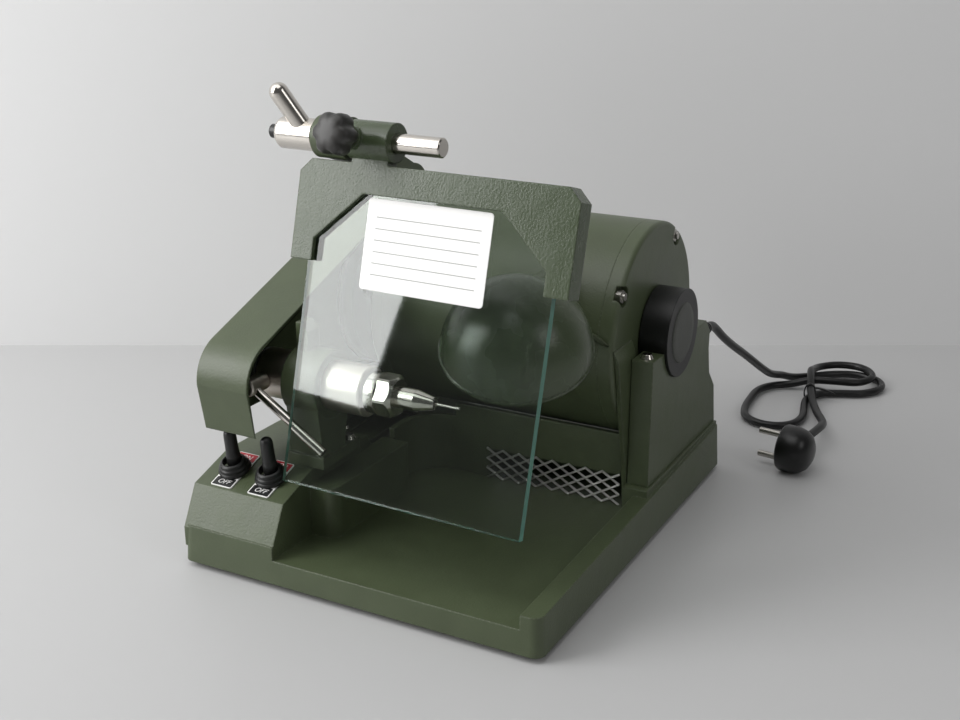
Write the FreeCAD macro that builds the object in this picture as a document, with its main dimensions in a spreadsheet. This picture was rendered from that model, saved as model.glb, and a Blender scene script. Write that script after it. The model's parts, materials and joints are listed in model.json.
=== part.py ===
import FreeCAD, Part
import math
import os
import re
import Sketcher

# A bench lathe for dental work: a belt-driven high-speed spindle over a cast tray, with its motor
# behind it, a suction hood, a lamp hood, two toggle switches and a swinging glass shield.
# Millimetres. X runs to the operator's right, Y to the back, Z up from the table.

SIZES = {
    # Cast base
    "base_width": 260, "base_depth": 320, "foot_height": 4, "foot_radius": 11, "foot_inset": 18,
    "base_draft": 3, "rim_front": 29, "rim_rear": 36, "base_wall": 6, "tray_floor": 20,
    "rim_width": 14, "plate_thickness": 2, "fit_gap": 0.3, "corner_radius": 7,
    "deck_height": 38, "deck_edge": 4, "deck_front": 62, "deck_side": 22, "deck_left_front": -14,
    "deck_right_front": 12, "deck_left_width": 48,
    # Switch pod on the front left of the base
    "pod_right": -57.5, "pod_front_height": 27, "panel_front": -145, "panel_low": 52.95,
    "panel_back": -111, "panel_angle": 18, "pod_height": 64, "pod_rear": -45, "pod_slope": 18,
    "ledge_right": -38, "ledge_front": -116, "ledge_rear": -24, "ledge_height": 55, "ledge_round": 9,
    # Toggle switches
    "switch_back": -127, "switch_inset": 21.5, "switch_pitch": 29.5, "label_width": 16,
    "label_length": 29, "label_thickness": 0.8, "bushing_radius": 6, "bushing_hole": 6.6, "bushing_bore": 3.4,
    "switch_seat": 1.5, "lever_radius": 1.9, "pivot_gap": 0.05,
    "collar_radius": 11.5, "collar_top": 9.6, "collar_mouth": 7.8, "collar_height": 5,
    "boot_radius": 5.6, "boot_height": 31, "boot_lean": 8, "boot_start": 3.4,
    "switch_width": 15, "switch_length": 26, "switch_height": 18,
    # Spindle
    "spindle_y": -92, "spindle_z": 118, "housing_left": -103, "housing_length": 81,
    "housing_radius": 16.5, "housing_bore": 11, "shaft_radius": 6, "shaft_clearance": 0.05,
    "shaft_relief": 1.2, "lip_length": 7, "spindle_bearing": 10, "spindle_bearing_inset": 20,
    "collar_left": -78, "carrier_width": 28, "carrier_radius": 22.5, "column_width": 26,
    "carrier_foot": 8, "carrier_foot_length": 42, "carrier_foot_shift": 5, "lug_height": 40,
    "lug_width": 13, "pulley_right": -104, "pulley_width": 13, "spindle_pulley_radius": 15,
    "nut_length": 20, "nut_radius": 13.4, "nut_flats": 25, "nose_radius": 7, "nose_length": 26,
    "nose_straight": 13, "nose_tip": 4, "pin_radius": 0.9, "pin_length": 17, "pin_seat": 14,
    # Clamp screw of the spindle with its cross bar
    "lock_x": -96.5, "lock_stem": 3, "lock_radius": 6, "lock_reach": 34.5, "lock_bar_radius": 3.1,
    "lock_bar_long": 66, "lock_bar_short": 9, "lock_bar_drop": 32.4, "lock_bar_back": 6,
    # Belt and guard
    "belt_width": 8, "belt_thickness": 2.6, "belt_groove": 1.5, "motor_pulley_radius": 56,
    "guard_left": -121.5, "guard_width": 39.5, "guard_wall": 2, "guard_round": 80,
    "guard_front": -143.7, "guard_front_z": 122, "guard_low": 90.6, "guard_low_y": -138,
    "guard_nose": 28, "guard_top_y": -125.4, "guard_top_z": 148.3, "guard_step": -52,
    "guard_foot_y": -12, "guard_rear_y": 140,
    # Motor
    "motor_y": 68, "motor_z": 134, "motor_radius": 74, "motor_bore": 63.2, "shell_left": -68,
    "shell_length": 162, "bell_depth": 11, "bell_edge": 3, "boss_radius": 21, "boss_length": 21,
    "bolt_circle": 68.6, "bolt_radius": 2.5, "bolt_hole": 2.8, "bolt_pocket": 7, "bolt_angle": 12,
    "nut_size": 8, "stator_length": 90, "rotor_radius": 37.5, "air_gap": 0.5, "winding_radius": 58,
    "winding_length": 14, "motor_shaft_radius": 7, "motor_bearing_radius": 17.5,
    "motor_bearing_width": 12, "fan_radius": 54, "fan_width": 12, "fan_blade": 2.5,
    "mount_radius": 30.5, "mount_length": 20, "cradle_width": 15, "cradle_gap": 4,
    "cradle_front": 18, "cradle_dip": 7, "cradle_slope": 124, "cradle_rear": 157,
    "left_cradle_gap": 5, "left_cradle_width": 14,
    # Dust hood and grille
    "hood_gap": 0.2, "hood_wall": 3.2, "hood_back": 20, "hood_back_wall": 4, "hood_lip": 42,
    "hood_back_top": 72, "hood_top": 150, "hood_round": 24, "hood_top_left": 24, "hood_left": -54,
    "hood_left_front": -22, "hood_left_height": 62, "hood_corner": 26, "hood_side_rear": 26,
    "grille_left": 4, "grille_thickness": 1.2, "mesh_pitch": 13, "mesh_rise": 7.6, "mesh_strand": 1.1,
    # Lamp
    "lamp_x": 61.5, "lamp_y": -56, "lamp_z": 148.6, "lamp_radius": 47.5, "lamp_wall": 1.6,
    "lamp_lean": 23, "lamp_side_lean": 11, "lamp_rim": 2.4, "socket_radius": 11, "socket_length": 16,
    "bulb_radius": 12, "bracket_radius": 9, "bracket_z": 180,
    # Shield, rod and clamp; the shield hangs from the rod in a plane of its own
    "rod_x": -19, "rod_y": -86, "rod_z": 276, "shield_yaw": -1.8, "shield_tilt": 15,
    "rod_radius": 6, "rod_left": -66, "rod_right": 47.5, "frame_middle": 45.5, "frame_half": 95.5,
    "frame_top": -14, "frame_bottom": -76, "frame_front": 4, "frame_thickness": 14,
    "frame_chamfer": 8, "leg_width": 15.5, "band_height": 18, "gusset_half": 47.5,
    "gusset_low": -62, "glass_half": 84.3, "glass_bottom": -215.5, "glass_top": -24.5,
    "glass_thickness": 5, "glass_front": 1, "barrel_radius": 12, "barrel_half": 15,
    "knob_x": -9, "knob_radius": 13, "knob_start": 17, "knob_length": 21, "knob_neck": 7,
    "knob_boss": 15, "knob_stem": 2.9, "knob_lobes": 7, "knob_flute": 3,
    "hub_radius": 10, "hub_left": -72, "hub_right": -41.5, "hub_cap_radius": 4.4,
    "hub_cap_length": 6.5, "handle_radius": 6, "handle_length": 37, "handle_x": -50,
    "handle_lean": 25, "handle_tip": 22, "head_left": -39.5, "head_right": -17.5, "head_radius": 13,
    "arm_width": 16, "arm_reach": 112, "arm_knee": 84, "arm_drop": 32, "arm_bend": 18, "arm_foot": 98,
    "saddle_width": 28, "saddle_length": 46, "saddle_thickness": 4,
    # Screws
    "screw_radius": 2.4, "screw_head": 4.6, "screw_head_height": 3, "screw_length": 10,
    "small_screw": 1.9, "small_head": 3.6, "small_head_height": 2.2, "small_length": 6,
    # Power cord and plug
    "cord_radius": 3.25, "relief_length": 22, "relief_radius": 6, "relief_flange": 8,
    "relief_shift": 1.5, "relief_drop": 15, "relief_y": 133.5, "relief_seat": 10, "bundle_height": 16,
    "plug_radius": 18, "plug_neck": 5.5, "plug_reach": 30, "plug_depth": 24, "plug_x": 173, "plug_y": 178, "plug_turn": 8,
    "plug_pin_radius": 2.4, "plug_pin_length": 19, "plug_pin_pitch": 19,
}

V = FreeCAD.Vector
# Places that follow from other sizes
DERIVED = {
    "cradle_left": "(shell_left + shell_length + bell_depth + cradle_gap)",
    "cradle_shoulder": "(motor_z - cradle_dip)",
    "left_cradle_left": "(shell_left - bell_depth - left_cradle_width - left_cradle_gap)",
    "hood_right": "(shell_left + shell_length + bell_depth + hood_gap + hood_wall)",
    "switch_left": "(switch_inset - base_width / 2)",
    "relief_x": "(shell_left + shell_length + bell_depth + cradle_gap + cradle_width / 2 - relief_shift)",
    "relief_z": "(motor_z - cradle_dip - relief_drop)",
}
document = FreeCAD.newDocument("dental_lathe")
sheet = document.addObject("Spreadsheet::Sheet", "size")
for row, (name, value) in enumerate(SIZES.items(), start=1):
    sheet.set(f"A{row}", name)
    sheet.set(f"B{row}", str(value))
    sheet.setAlias(f"B{row}", name)
document.recompute()

nodes = []


def bound(text):
    """Point each size in an expression at its cell of the sheet."""
    text = re.sub(r"[a-z]\w*", lambda word: DERIVED.get(word.group(), word.group()), str(text))
    return re.sub(r"[a-z]\w*", lambda word: "size." + word.group() if word.group() in SIZES else word.group(),
                  str(text))


def number(text):
    return float(sheet.evalExpression(bound(text)))


TURNS = {
    "z": FreeCAD.Rotation(),
    "-z": FreeCAD.Rotation(V(1, 0, 0), 180),
    "x": FreeCAD.Rotation(V(0, 1, 0), 90),
    "-x": FreeCAD.Rotation(V(0, 1, 0), -90),
    "y": FreeCAD.Rotation(V(1, 0, 0), -90),
    "-y": FreeCAD.Rotation(V(1, 0, 0), 90),
}


def put(thing, x="0", y="0", z="0", turn=None):
    """Place a thing by expressions, turned first."""
    if turn is not None:
        thing.Placement.Rotation = turn
    for axis, text in zip("xyz", (x, y, z)):
        thing.setExpression(f"Placement.Base.{axis}", bound(text))
    return thing


def node(thing, label):
    thing.Label = label
    nodes.append(thing)
    return thing


def cylinder(radius, length, x="0", y="0", z="0", towards="z"):
    piece = document.addObject("Part::Cylinder", "round")
    piece.setExpression("Radius", bound(radius))
    piece.setExpression("Height", bound(length))
    return put(piece, x, y, z, TURNS[towards])


def cone(start, end, length, x="0", y="0", z="0", towards="z"):
    piece = document.addObject("Part::Cone", "taper")
    piece.setExpression("Radius1", bound(start))
    piece.setExpression("Radius2", bound(end))
    piece.setExpression("Height", bound(length))
    return put(piece, x, y, z, TURNS[towards])


def block(width, depth, height, x, y, z):
    piece = document.addObject("Part::Box", "block")
    piece.setExpression("Length", bound(width))
    piece.setExpression("Width", bound(depth))
    piece.setExpression("Height", bound(height))
    return put(piece, x, y, z)


def ball(radius, x="0", y="0", z="0"):
    piece = document.addObject("Part::Sphere", "ball")
    piece.setExpression("Radius", bound(radius))
    return put(piece, x, y, z)


def fuse(pieces):
    joined = document.addObject("Part::MultiFuse", "joined")
    joined.Shapes = pieces
    return joined


def cut(base, tool):
    result = document.addObject("Part::Cut", "cut")
    result.Base = base
    result.Tool = tool
    return result


def group(pieces):
    gathered = document.addObject("Part::Compound", "group")
    gathered.Links = pieces
    return gathered


def new_body(label):
    return node(document.addObject("PartDesign::Body", label), label)


def sketch_on(body, plane, offset):
    sketch = body.newObject("Sketcher::SketchObject", "sketch")
    origin = [item for item in body.Origin.OriginFeatures if item.Role == plane + "_Plane"][0]
    sketch.AttachmentSupport = [(origin, "")]
    sketch.MapMode = "FlatFace"
    sketch.setExpression("AttachmentOffset.Base.z", bound(offset))
    return sketch


def pin_point(sketch, piece, corner, x, y):
    """Fix one point of a sketch's geometry from the origin, by expressions."""
    for kind, text in (("DistanceX", x), ("DistanceY", y)):
        index = sketch.addConstraint(Sketcher.Constraint(kind, -1, 1, piece, corner, number(text)))
        sketch.setExpression(f"Constraints[{index}]", bound(text))


def fix_radius(sketch, piece, radius):
    index = sketch.addConstraint(Sketcher.Constraint("Radius", piece, number(radius)))
    sketch.setExpression(f"Constraints[{index}]", bound(radius))


def arc_between(start, end, radius, clockwise, long_way):
    """The arc through two points, always drawn counterclockwise, as a sketch keeps it."""
    chord = end - start
    half = chord.Length / 2
    rise = math.sqrt(max(radius * radius - half * half, 0.0))
    left = V(-chord.y, chord.x, 0).normalize()
    side = 1 if clockwise == long_way else -1
    centre = (start + end) * 0.5 + left * (rise * side)
    first, last = (end, start) if clockwise else (start, end)
    begin = math.atan2(first.y - centre.y, first.x - centre.x)
    finish = math.atan2(last.y - centre.y, last.x - centre.x)
    if finish <= begin:
        finish += 2 * math.pi
    return Part.ArcOfCircle(Part.Circle(centre, V(0, 0, 1), radius), begin, finish)


def outline(body, plane, corners, offset="0"):
    """A closed profile. A corner is (x, y), or (x, y, turn, radius) where an arc leaves it;
    turn is left or right, with long_ before it for the longer way round."""
    sketch = sketch_on(body, plane, offset)
    spots = [V(number(corner[0]), number(corner[1]), 0) for corner in corners]
    starts = []
    for index, corner in enumerate(corners):
        start = spots[index]
        end = spots[(index + 1) % len(spots)]
        if len(corner) == 2:
            sketch.addGeometry(Part.LineSegment(start, end), False)
            starts.append(1)
            continue
        clockwise = corner[2].endswith("right")
        long_way = corner[2].startswith("long_")
        sketch.addGeometry(arc_between(start, end, number(corner[3]), clockwise, long_way), False)
        starts.append(2 if clockwise else 1)
    for index, corner in enumerate(corners):
        before = index - 1 if index else len(corners) - 1
        sketch.addConstraint(Sketcher.Constraint("Coincident", before, 3 - starts[before], index, starts[index]))
        pin_point(sketch, index, starts[index], corner[0], corner[1])
    for index, corner in enumerate(corners):
        if len(corner) > 2:
            fix_radius(sketch, index, corner[3])
    return sketch


def circles(body, plane, rings, offset="0"):
    """A sketch of circles, each (x, y, radius)."""
    sketch = sketch_on(body, plane, offset)
    for x, y, radius in rings:
        centre = V(number(x), number(y), 0)
        piece = sketch.addGeometry(Part.Circle(centre, V(0, 0, 1), number(radius)), False)
        pin_point(sketch, piece, 3, x, y)
        fix_radius(sketch, piece, radius)
    return sketch


def extrude(body, kind, sketch, length, along, both=False):
    feature = body.newObject("PartDesign::" + kind, kind.lower())
    feature.Profile = sketch
    feature.setExpression("Length", bound(length))
    feature.Reversed = along
    feature.Midplane = both
    return feature


def pad(body, sketch, length, forward=True, both=False):
    """Add the profile, forward along its plane's normal or back."""
    return extrude(body, "Pad", sketch, length, not forward, both)


def pocket(body, sketch, length, forward=True, both=False):
    """Cut the profile away, forward along its plane's normal or back."""
    return extrude(body, "Pocket", sketch, length, forward, both)


def revolve(body, sketch, axis="H_Axis", kind="Revolution"):
    feature = body.newObject("PartDesign::" + kind, kind.lower())
    feature.Profile = sketch
    feature.ReferenceAxis = (sketch, [axis])
    feature.Angle = 360
    return feature


def turned(label, profile, x="0", y="0", z="0", turn=None):
    """A turned piece: its profile (along, radius) goes round the body's own X axis."""
    body = new_body(label)
    revolve(body, outline(body, "XY", profile))
    return put(body, x, y, z, turn)


def polar(body, feature, count, axis="X_Axis"):
    """Repeat the last feature round one of the body's own axes."""
    pattern = body.newObject("PartDesign::PolarPattern", "round_pattern")
    pattern.Originals = [feature]
    pattern.Axis = ([item for item in body.Origin.OriginFeatures if item.Role == axis][0], [""])
    pattern.Angle = 360
    pattern.setExpression("Occurrences", bound(count))
    body.Tip = pattern
    return pattern


def rectangle(low_x, low_y, high_x, high_y):
    return [(low_x, low_y), (high_x, low_y), (high_x, high_y), (low_x, high_y)]


def rounded(half_x, half_y, radius):
    """A rectangle round the origin with rounded corners."""
    return [(f"-{half_x} + {radius}", f"-{half_y}"), (f"{half_x} - {radius}", f"-{half_y}", "left", radius),
            (half_x, f"-{half_y} + {radius}"), (half_x, f"{half_y} - {radius}", "left", radius),
            (f"{half_x} - {radius}", half_y), (f"-{half_x} + {radius}", half_y, "left", radius),
            (f"-{half_x}", f"{half_y} - {radius}"), (f"-{half_x}", f"-{half_y} + {radius}", "left", radius)]


def screws(label, kind, places, hosts):
    """Pan-head screws in one node, each place its x, y, z and the way the head faces, and their
    holes in the pieces that they hold."""
    sizes = {"large": ("screw_radius", "screw_length", "screw_head", "screw_head_height"),
             "small": ("small_screw", "small_length", "small_head", "small_head_height")}
    radius, length, head, height = sizes[kind]
    back = {"z": "-z", "x": "-x", "y": "-y", "-z": "z", "-x": "x", "-y": "y"}
    pieces = []
    for x, y, z, facing in places:
        shank = cylinder(radius, length, x, y, z, back[facing])
        cap = cone(head, f"{head} * 0.7", height, x, y, z, facing)
        pieces.append(fuse([shank, cap]))
    for host in hosts:
        solid = [item for item in nodes if item.Label == host][0]
        nodes.remove(solid)
        solid.Label = host + "_undrilled"
        holes = [cylinder(radius, length, x, y, z, back[facing]) for x, y, z, facing in places]
        node(cut(solid, group(holes)), host)
    return node(group(pieces), label)


# Cast base, hollow below, with tray, rim, deck, pod and ledge
def make_base():
    body = new_body("base_casting")
    half_x, half_y = "base_width / 2", "base_depth / 2"
    inset = "(rim_rear - foot_height) * tan(base_draft)"
    low = outline(body, "XY", rounded(half_x, half_y, "corner_radius"), "foot_height")
    top = outline(body, "XY", rounded(f"({half_x} - {inset})", f"({half_y} - {inset})", "corner_radius"),
                  "rim_rear")
    loft = body.newObject("PartDesign::AdditiveLoft", "casting")
    loft.Profile = low
    loft.Sections = [top]
    loft.Ruled = True
    slope = outline(body, "YZ", [(f"-{half_y}", "rim_front"), (half_y, "rim_rear"),
                                 (half_y, "rim_rear * 2"), (f"-{half_y}", "rim_rear * 2")])
    pocket(body, slope, "base_width * 2", both=True)
    rim = f"{half_x} - rim_width"
    tray = outline(body, "XY", rectangle("pod_right", "-base_depth", rim, "deck_front"), "tray_floor")
    pocket(body, tray, "base_depth")
    edge = f"{half_x} - deck_edge"
    rear = f"{half_y} - deck_edge + 1"
    inner = "hood_right + fit_gap"
    left_in = f"-{edge} + deck_left_width"
    deck = outline(body, "XY", [(f"-({edge})", "deck_left_front"), (left_in, "deck_left_front"),
                                (left_in, "deck_front"), (inner, "deck_front"),
                                (inner, "deck_right_front"), (edge, "deck_right_front"),
                                (edge, rear), (f"-({edge})", rear)], "tray_floor - base_wall")
    pad(body, deck, "deck_height - tray_floor + base_wall")
    front = f"-({half_y} - {inset})"
    pod = outline(body, "YZ", [(front, "tray_floor - base_wall"), (front, "pod_front_height"),
                               ("panel_front", "panel_low"), ("panel_back", "panel_low + (panel_back - panel_front) * tan(panel_angle)"),
                               ("pod_rear", "pod_height"), ("pod_rear + pod_slope", "deck_height - 6"),
                               ("pod_rear + pod_slope", "tray_floor - base_wall")], "pod_right")
    pad(body, pod, f"pod_right + {half_x} - {inset}", forward=False)
    ledge = outline(body, "XY", [("pod_right - 1", "ledge_front"),
                                 ("ledge_right - ledge_round", "ledge_front", "left", "ledge_round"),
                                 ("ledge_right", "ledge_front + ledge_round"),
                                 ("ledge_right", "ledge_rear"), ("pod_right - 1", "ledge_rear")],
                    "tray_floor - base_wall")
    pad(body, ledge, "ledge_height - tray_floor + base_wall")
    hollow = outline(body, "XY", rectangle(f"-{half_x} + base_wall", f"-{half_y} + base_wall",
                                           f"{half_x} - base_wall", f"{half_y} - base_wall"),
                     "foot_height")
    pocket(body, hollow, "tray_floor - foot_height - base_wall")
    roof = "(base_wall + switch_seat) / cos(panel_angle)"
    rise = "tan(panel_angle)"
    room = outline(body, "YZ", [(f"-{half_y} + base_wall * 1.8", "foot_height"),
                                (f"-{half_y} + base_wall * 1.8", "pod_front_height - base_wall / 2"),
                                ("panel_front + base_wall", f"panel_low + base_wall * {rise} - {roof}"),
                                ("panel_back", f"panel_low + (panel_back - panel_front) * {rise} - {roof}"),
                                ("pod_rear - base_wall", f"pod_height - {roof}"),
                                ("pod_rear", "foot_height")], "pod_right - base_wall")
    pocket(body, room, f"pod_right + {half_x} - base_wall * 2.4", forward=False)
    spots = [(f"{side} * ({half_x} - foot_inset)", f"{end} * ({half_y} - foot_inset)", "foot_radius - 2")
             for side in ("-1", "1") for end in ("-1", "1")]
    pad(body, circles(body, "XY", spots, "foot_height + plate_thickness"),
        "tray_floor - foot_height - plate_thickness - base_wall + 1")
    holes = circles(body, "XY", [("switch_left", "switch_back", "bushing_hole * 1.3"),
                                 ("switch_left + switch_pitch", "switch_back", "bushing_hole * 1.3")],
                    "pod_height")
    pocket(body, holes, "pod_height - tray_floor", forward=False)


def make_underside():
    room = "base_wall * 2 + fit_gap * 2"
    plate = block(f"base_width - ({room})", f"base_depth - ({room})", "plate_thickness",
                  f"-(base_width - ({room})) / 2", f"-(base_depth - ({room})) / 2", "foot_height")
    node(plate, "base_plate")
    feet = []
    for side in ("-1", "1"):
        for end in ("-1", "1"):
            feet.append(cone("foot_radius - 1", "foot_radius", "foot_height",
                             f"{side} * (base_width / 2 - foot_inset)",
                             f"{end} * (base_depth / 2 - foot_inset)"))
    node(group(feet), "rubber_feet")


# Spindle carrier: a round collar on a column, with a foot and a lug for its clamp screw
def make_carrier():
    body = new_body("spindle_carrier")
    middle = "carrier_width / 2"
    pad(body, circles(body, "YZ", [("0", "0", "carrier_radius")]), "carrier_width", both=True)
    drop = "spindle_z - pod_height"
    column = outline(body, "YZ", [("-carrier_radius * 0.9", "0"),
                                  ("-carrier_radius * 0.6", f"-({drop})"),
                                  ("carrier_radius * 0.4", f"-({drop})"),
                                  ("carrier_radius * 0.85", "0")])
    pad(body, column, "column_width", both=True)
    foot = outline(body, "XY", rectangle(f"-{middle}", "carrier_foot_shift - carrier_foot_length / 2",
                                         middle, "carrier_foot_shift + carrier_foot_length / 2"),
                   f"-({drop})")
    pad(body, foot, "carrier_foot")
    lug = outline(body, "XZ", [(f"-{middle} + 2.6", "0"), (f"-{middle} + 2.6", "lug_height"),
                               (f"-{middle} + lug_width * 0.6", "lug_height"),
                               (f"-{middle} + lug_width", "lug_height - lug_width * 0.4"),
                               (f"-{middle} + lug_width", "0")])
    pad(body, lug, "lug_width", both=True)
    bore = circles(body, "YZ", [("0", "0", "housing_radius")])
    pocket(body, bore, "carrier_width * 2", both=True)
    put(body, "collar_left + carrier_width / 2", "spindle_y", "spindle_z")


def make_spindle():
    wall = "housing_radius"
    lip = "shaft_radius + shaft_relief"
    end = "housing_length"
    housing = turned("spindle_housing", [
        ("0", lip), ("0", f"{wall} - 1"), ("1", wall), (f"{end} - 1", wall), (end, f"{wall} - 1"),
        (end, lip), (f"{end} - lip_length", lip), (f"{end} - lip_length", "housing_bore"),
        ("lip_length", "housing_bore"), ("lip_length", lip)],
        "housing_left", "spindle_y", "spindle_z")
    thread = circles(housing, "XZ", [("lock_x - housing_left", "0", "lock_stem")])
    pocket(housing, thread, "housing_radius * 2")
    width = "spindle_bearing"
    far = "housing_length - spindle_bearing_inset - spindle_bearing"
    rings = []
    for start in ("spindle_bearing_inset", far):
        ring = cut(cylinder("housing_bore", width, f"housing_left + {start}", "spindle_y", "spindle_z", "x"),
                   cylinder("shaft_radius + shaft_clearance", width, f"housing_left + {start}",
                            "spindle_y", "spindle_z", "x"))
        rings.append(ring)
    node(group(rings), "spindle_bearings")
    nut_left = "housing_left + housing_length + 0.6"
    node(cylinder("shaft_radius", f"{nut_left} + nut_length * 0.7 - pulley_right + pulley_width",
                  "pulley_right - pulley_width", "spindle_y", "spindle_z", "x"), "spindle_shaft")
    radius = "spindle_pulley_radius"
    turned("spindle_pulley", [
        ("0", "shaft_radius"), ("0", f"{radius} + 1"), ("1.6", f"{radius} + 1"),
        ("2.4", f"{radius} - belt_groove"), ("pulley_width - 2.4", f"{radius} - belt_groove"),
        ("pulley_width - 1.6", f"{radius} + 1"), ("pulley_width", f"{radius} + 1"),
        ("pulley_width", "shaft_radius")], "pulley_right - pulley_width", "spindle_y", "spindle_z")
    nut = turned("chuck_nut", [
        ("0", "shaft_radius"), ("0", "nut_radius - 1"), ("1", "nut_radius"),
        ("nut_length * 0.35", "nut_radius"), ("nut_length * 0.4", "nut_radius + 0.6"),
        ("nut_length - 3", "nut_radius + 0.6"), ("nut_length", "nut_radius - 2"),
        ("nut_length", "shaft_radius")], nut_left, "spindle_y", "spindle_z")
    flat = outline(nut, "YZ", rectangle("-nut_radius * 1.4", "nut_flats / 2", "nut_radius * 1.4",
                                        "nut_radius * 2"), "nut_length * 0.42")
    polar(nut, pocket(nut, flat, "nut_length"), "6")
    nose_left = f"{nut_left} + nut_length * 0.7"
    nose = turned("chuck_nose", [
        ("0", "pin_radius"), ("0", "shaft_radius"), ("nut_length * 0.3", "shaft_radius"),
        ("nut_length * 0.3", "nose_radius"), ("nut_length * 0.3 + nose_straight", "nose_radius"),
        ("nut_length * 0.3 + nose_length - 0.6", "nose_tip"),
        ("nut_length * 0.3 + nose_length", "nose_tip - 0.6"),
        ("nut_length * 0.3 + nose_length", "pin_radius")], nose_left, "spindle_y", "spindle_z")
    slit = outline(nose, "XY", rectangle("nut_length * 0.3 + nose_straight", "0.8",
                                         "nut_length * 0.3 + nose_length * 2", "nose_radius * 1.5"))
    polar(nose, pocket(nose, slit, "0.5", both=True), "3")
    node(cylinder("pin_radius", "pin_seat + pin_length",
                  f"{nut_left} + nut_length + nose_length - pin_seat", "spindle_y", "spindle_z", "x"),
         "mandrel_pin")


def make_lock():
    face = "housing_radius + fit_gap"
    screw = turned("turned_screw", [
        ("housing_bore + 1", "0"), ("housing_bore + 1", "lock_stem - shaft_clearance"),
        (face, "lock_stem - shaft_clearance"),
        (face, "lock_radius"), ("lock_reach - 1", "lock_radius"), ("lock_reach", "lock_radius - 1"),
        ("lock_reach", "lock_radius * 0.45"), ("lock_reach - 2.5", "lock_radius * 0.45"),
        ("lock_reach - 2.5", "0")],
        "lock_x", "spindle_y", "spindle_z", FreeCAD.Rotation(V(0, 0, 1), -90))
    nodes.remove(screw)
    lean = FreeCAD.Rotation(V(0, 1, 0), 90 + number("lock_bar_drop"))
    spot = ("lock_x - lock_bar_short * cos(lock_bar_drop)", "spindle_y - lock_reach + lock_bar_back",
            "spindle_z + lock_bar_short * sin(lock_bar_drop)")
    hole = put(cylinder("lock_bar_radius", "lock_bar_long + lock_bar_short"), *spot, lean)
    node(cut(screw, hole), "lock_screw")
    node(put(cylinder("lock_bar_radius", "lock_bar_long + lock_bar_short"), *spot, lean), "lock_bar")


# Belt guard: a side plate and a strip bent round both pulleys
def guard_profile(inside):
    """Corners of the guard, moved in by the wall where inside is that wall's name."""
    wall = inside
    run = "sqrt((motor_y - guard_top_y)^2 + (motor_z - guard_top_z)^2)"
    lift = f"(guard_round / {run})"
    level = f"sqrt(1 - {lift}^2)"
    along_y = f"((motor_y - guard_top_y) / {run})"
    along_z = f"((motor_z - guard_top_z) / {run})"
    normal_y = f"(-{lift} * {along_y} - {level} * {along_z})"
    normal_z = f"(-{lift} * {along_z} + {level} * {along_y})"
    radius = f"guard_round - {wall}"
    return [
        (f"guard_low_y + {wall}", "guard_low"),
        (f"guard_front + {wall}", "guard_front_z", "right", f"guard_nose - {wall}"),
        (f"guard_top_y + {wall} * 0.35", f"guard_top_z - {wall} * 0.94"),
        (f"motor_y + ({radius}) * {normal_y}", f"motor_z + ({radius}) * {normal_z}", "right", radius),
        (f"motor_y + {radius}", "motor_z"),
        (f"guard_rear_y - {wall}", "deck_height"),
    ]


def make_guard():
    body = new_body("belt_guard")
    shape = guard_profile("0") + [("guard_foot_y", "deck_height"), ("guard_step", "guard_low")]
    pad(body, outline(body, "YZ", shape, "guard_left"), "guard_width")
    inner = guard_profile("guard_wall")
    inner[0] = ("guard_low_y + guard_wall", "guard_low - 10")
    inner[-1] = ("guard_rear_y - guard_wall", "deck_height - 10")
    inner += [("guard_foot_y", "deck_height - 10"), ("guard_foot_y - 50", "guard_low - 10")]
    pocket(body, outline(body, "YZ", inner, "guard_left + guard_wall"), "guard_width")
    foot = outline(body, "XY", rectangle("guard_left", "guard_foot_y + 4", "guard_left + 14",
                                         "guard_rear_y - guard_wall / 2"), "deck_height")
    pad(body, foot, "guard_wall")


def make_belt():
    gap = "belt_gap"
    run = "sqrt((motor_y - spindle_y)^2 + (motor_z - spindle_z)^2)"
    body = new_body("drive_belt")

    def loop(extra):
        small = f"(spindle_pulley_radius - belt_groove + fit_gap + {extra})"
        large = f"(motor_pulley_radius - belt_groove + fit_gap + {extra})"
        share = f"((motor_pulley_radius - spindle_pulley_radius) / {run})"
        rise = f"sqrt(1 - {share}^2)"
        return [(f"-{small} * {share}", f"{small} * {rise}", "left", small),
                (f"-{small} * {share}", f"-{small} * {rise}"),
                (f"{run} - {large} * {share}", f"-{large} * {rise}", "long_left", large),
                (f"{run} - {large} * {share}", f"{large} * {rise}")]

    pad(body, outline(body, "XY", loop("belt_thickness")), "belt_width", both=True)
    pocket(body, outline(body, "XY", loop("0")), "belt_width * 3", both=True)
    angle = math.degrees(math.atan2(number("motor_z - spindle_z"), number("motor_y - spindle_y")))
    upright = FreeCAD.Rotation(V(1, 0, 0), angle).multiply(
        FreeCAD.Rotation(V(0, 1, 0), V(0, 0, 1), V(1, 0, 0), "XYZ"))
    put(body, "pulley_right - pulley_width / 2", "spindle_y", "spindle_z", upright)


# Motor with cast shell, end bells, tie bolts and rubber-mounted bosses
def bolt_places():
    return [(f"bolt_circle * cos(bolt_angle + {turn})", f"bolt_circle * sin(bolt_angle + {turn})")
            for turn in (45, 135, 225, 315)]


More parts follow.
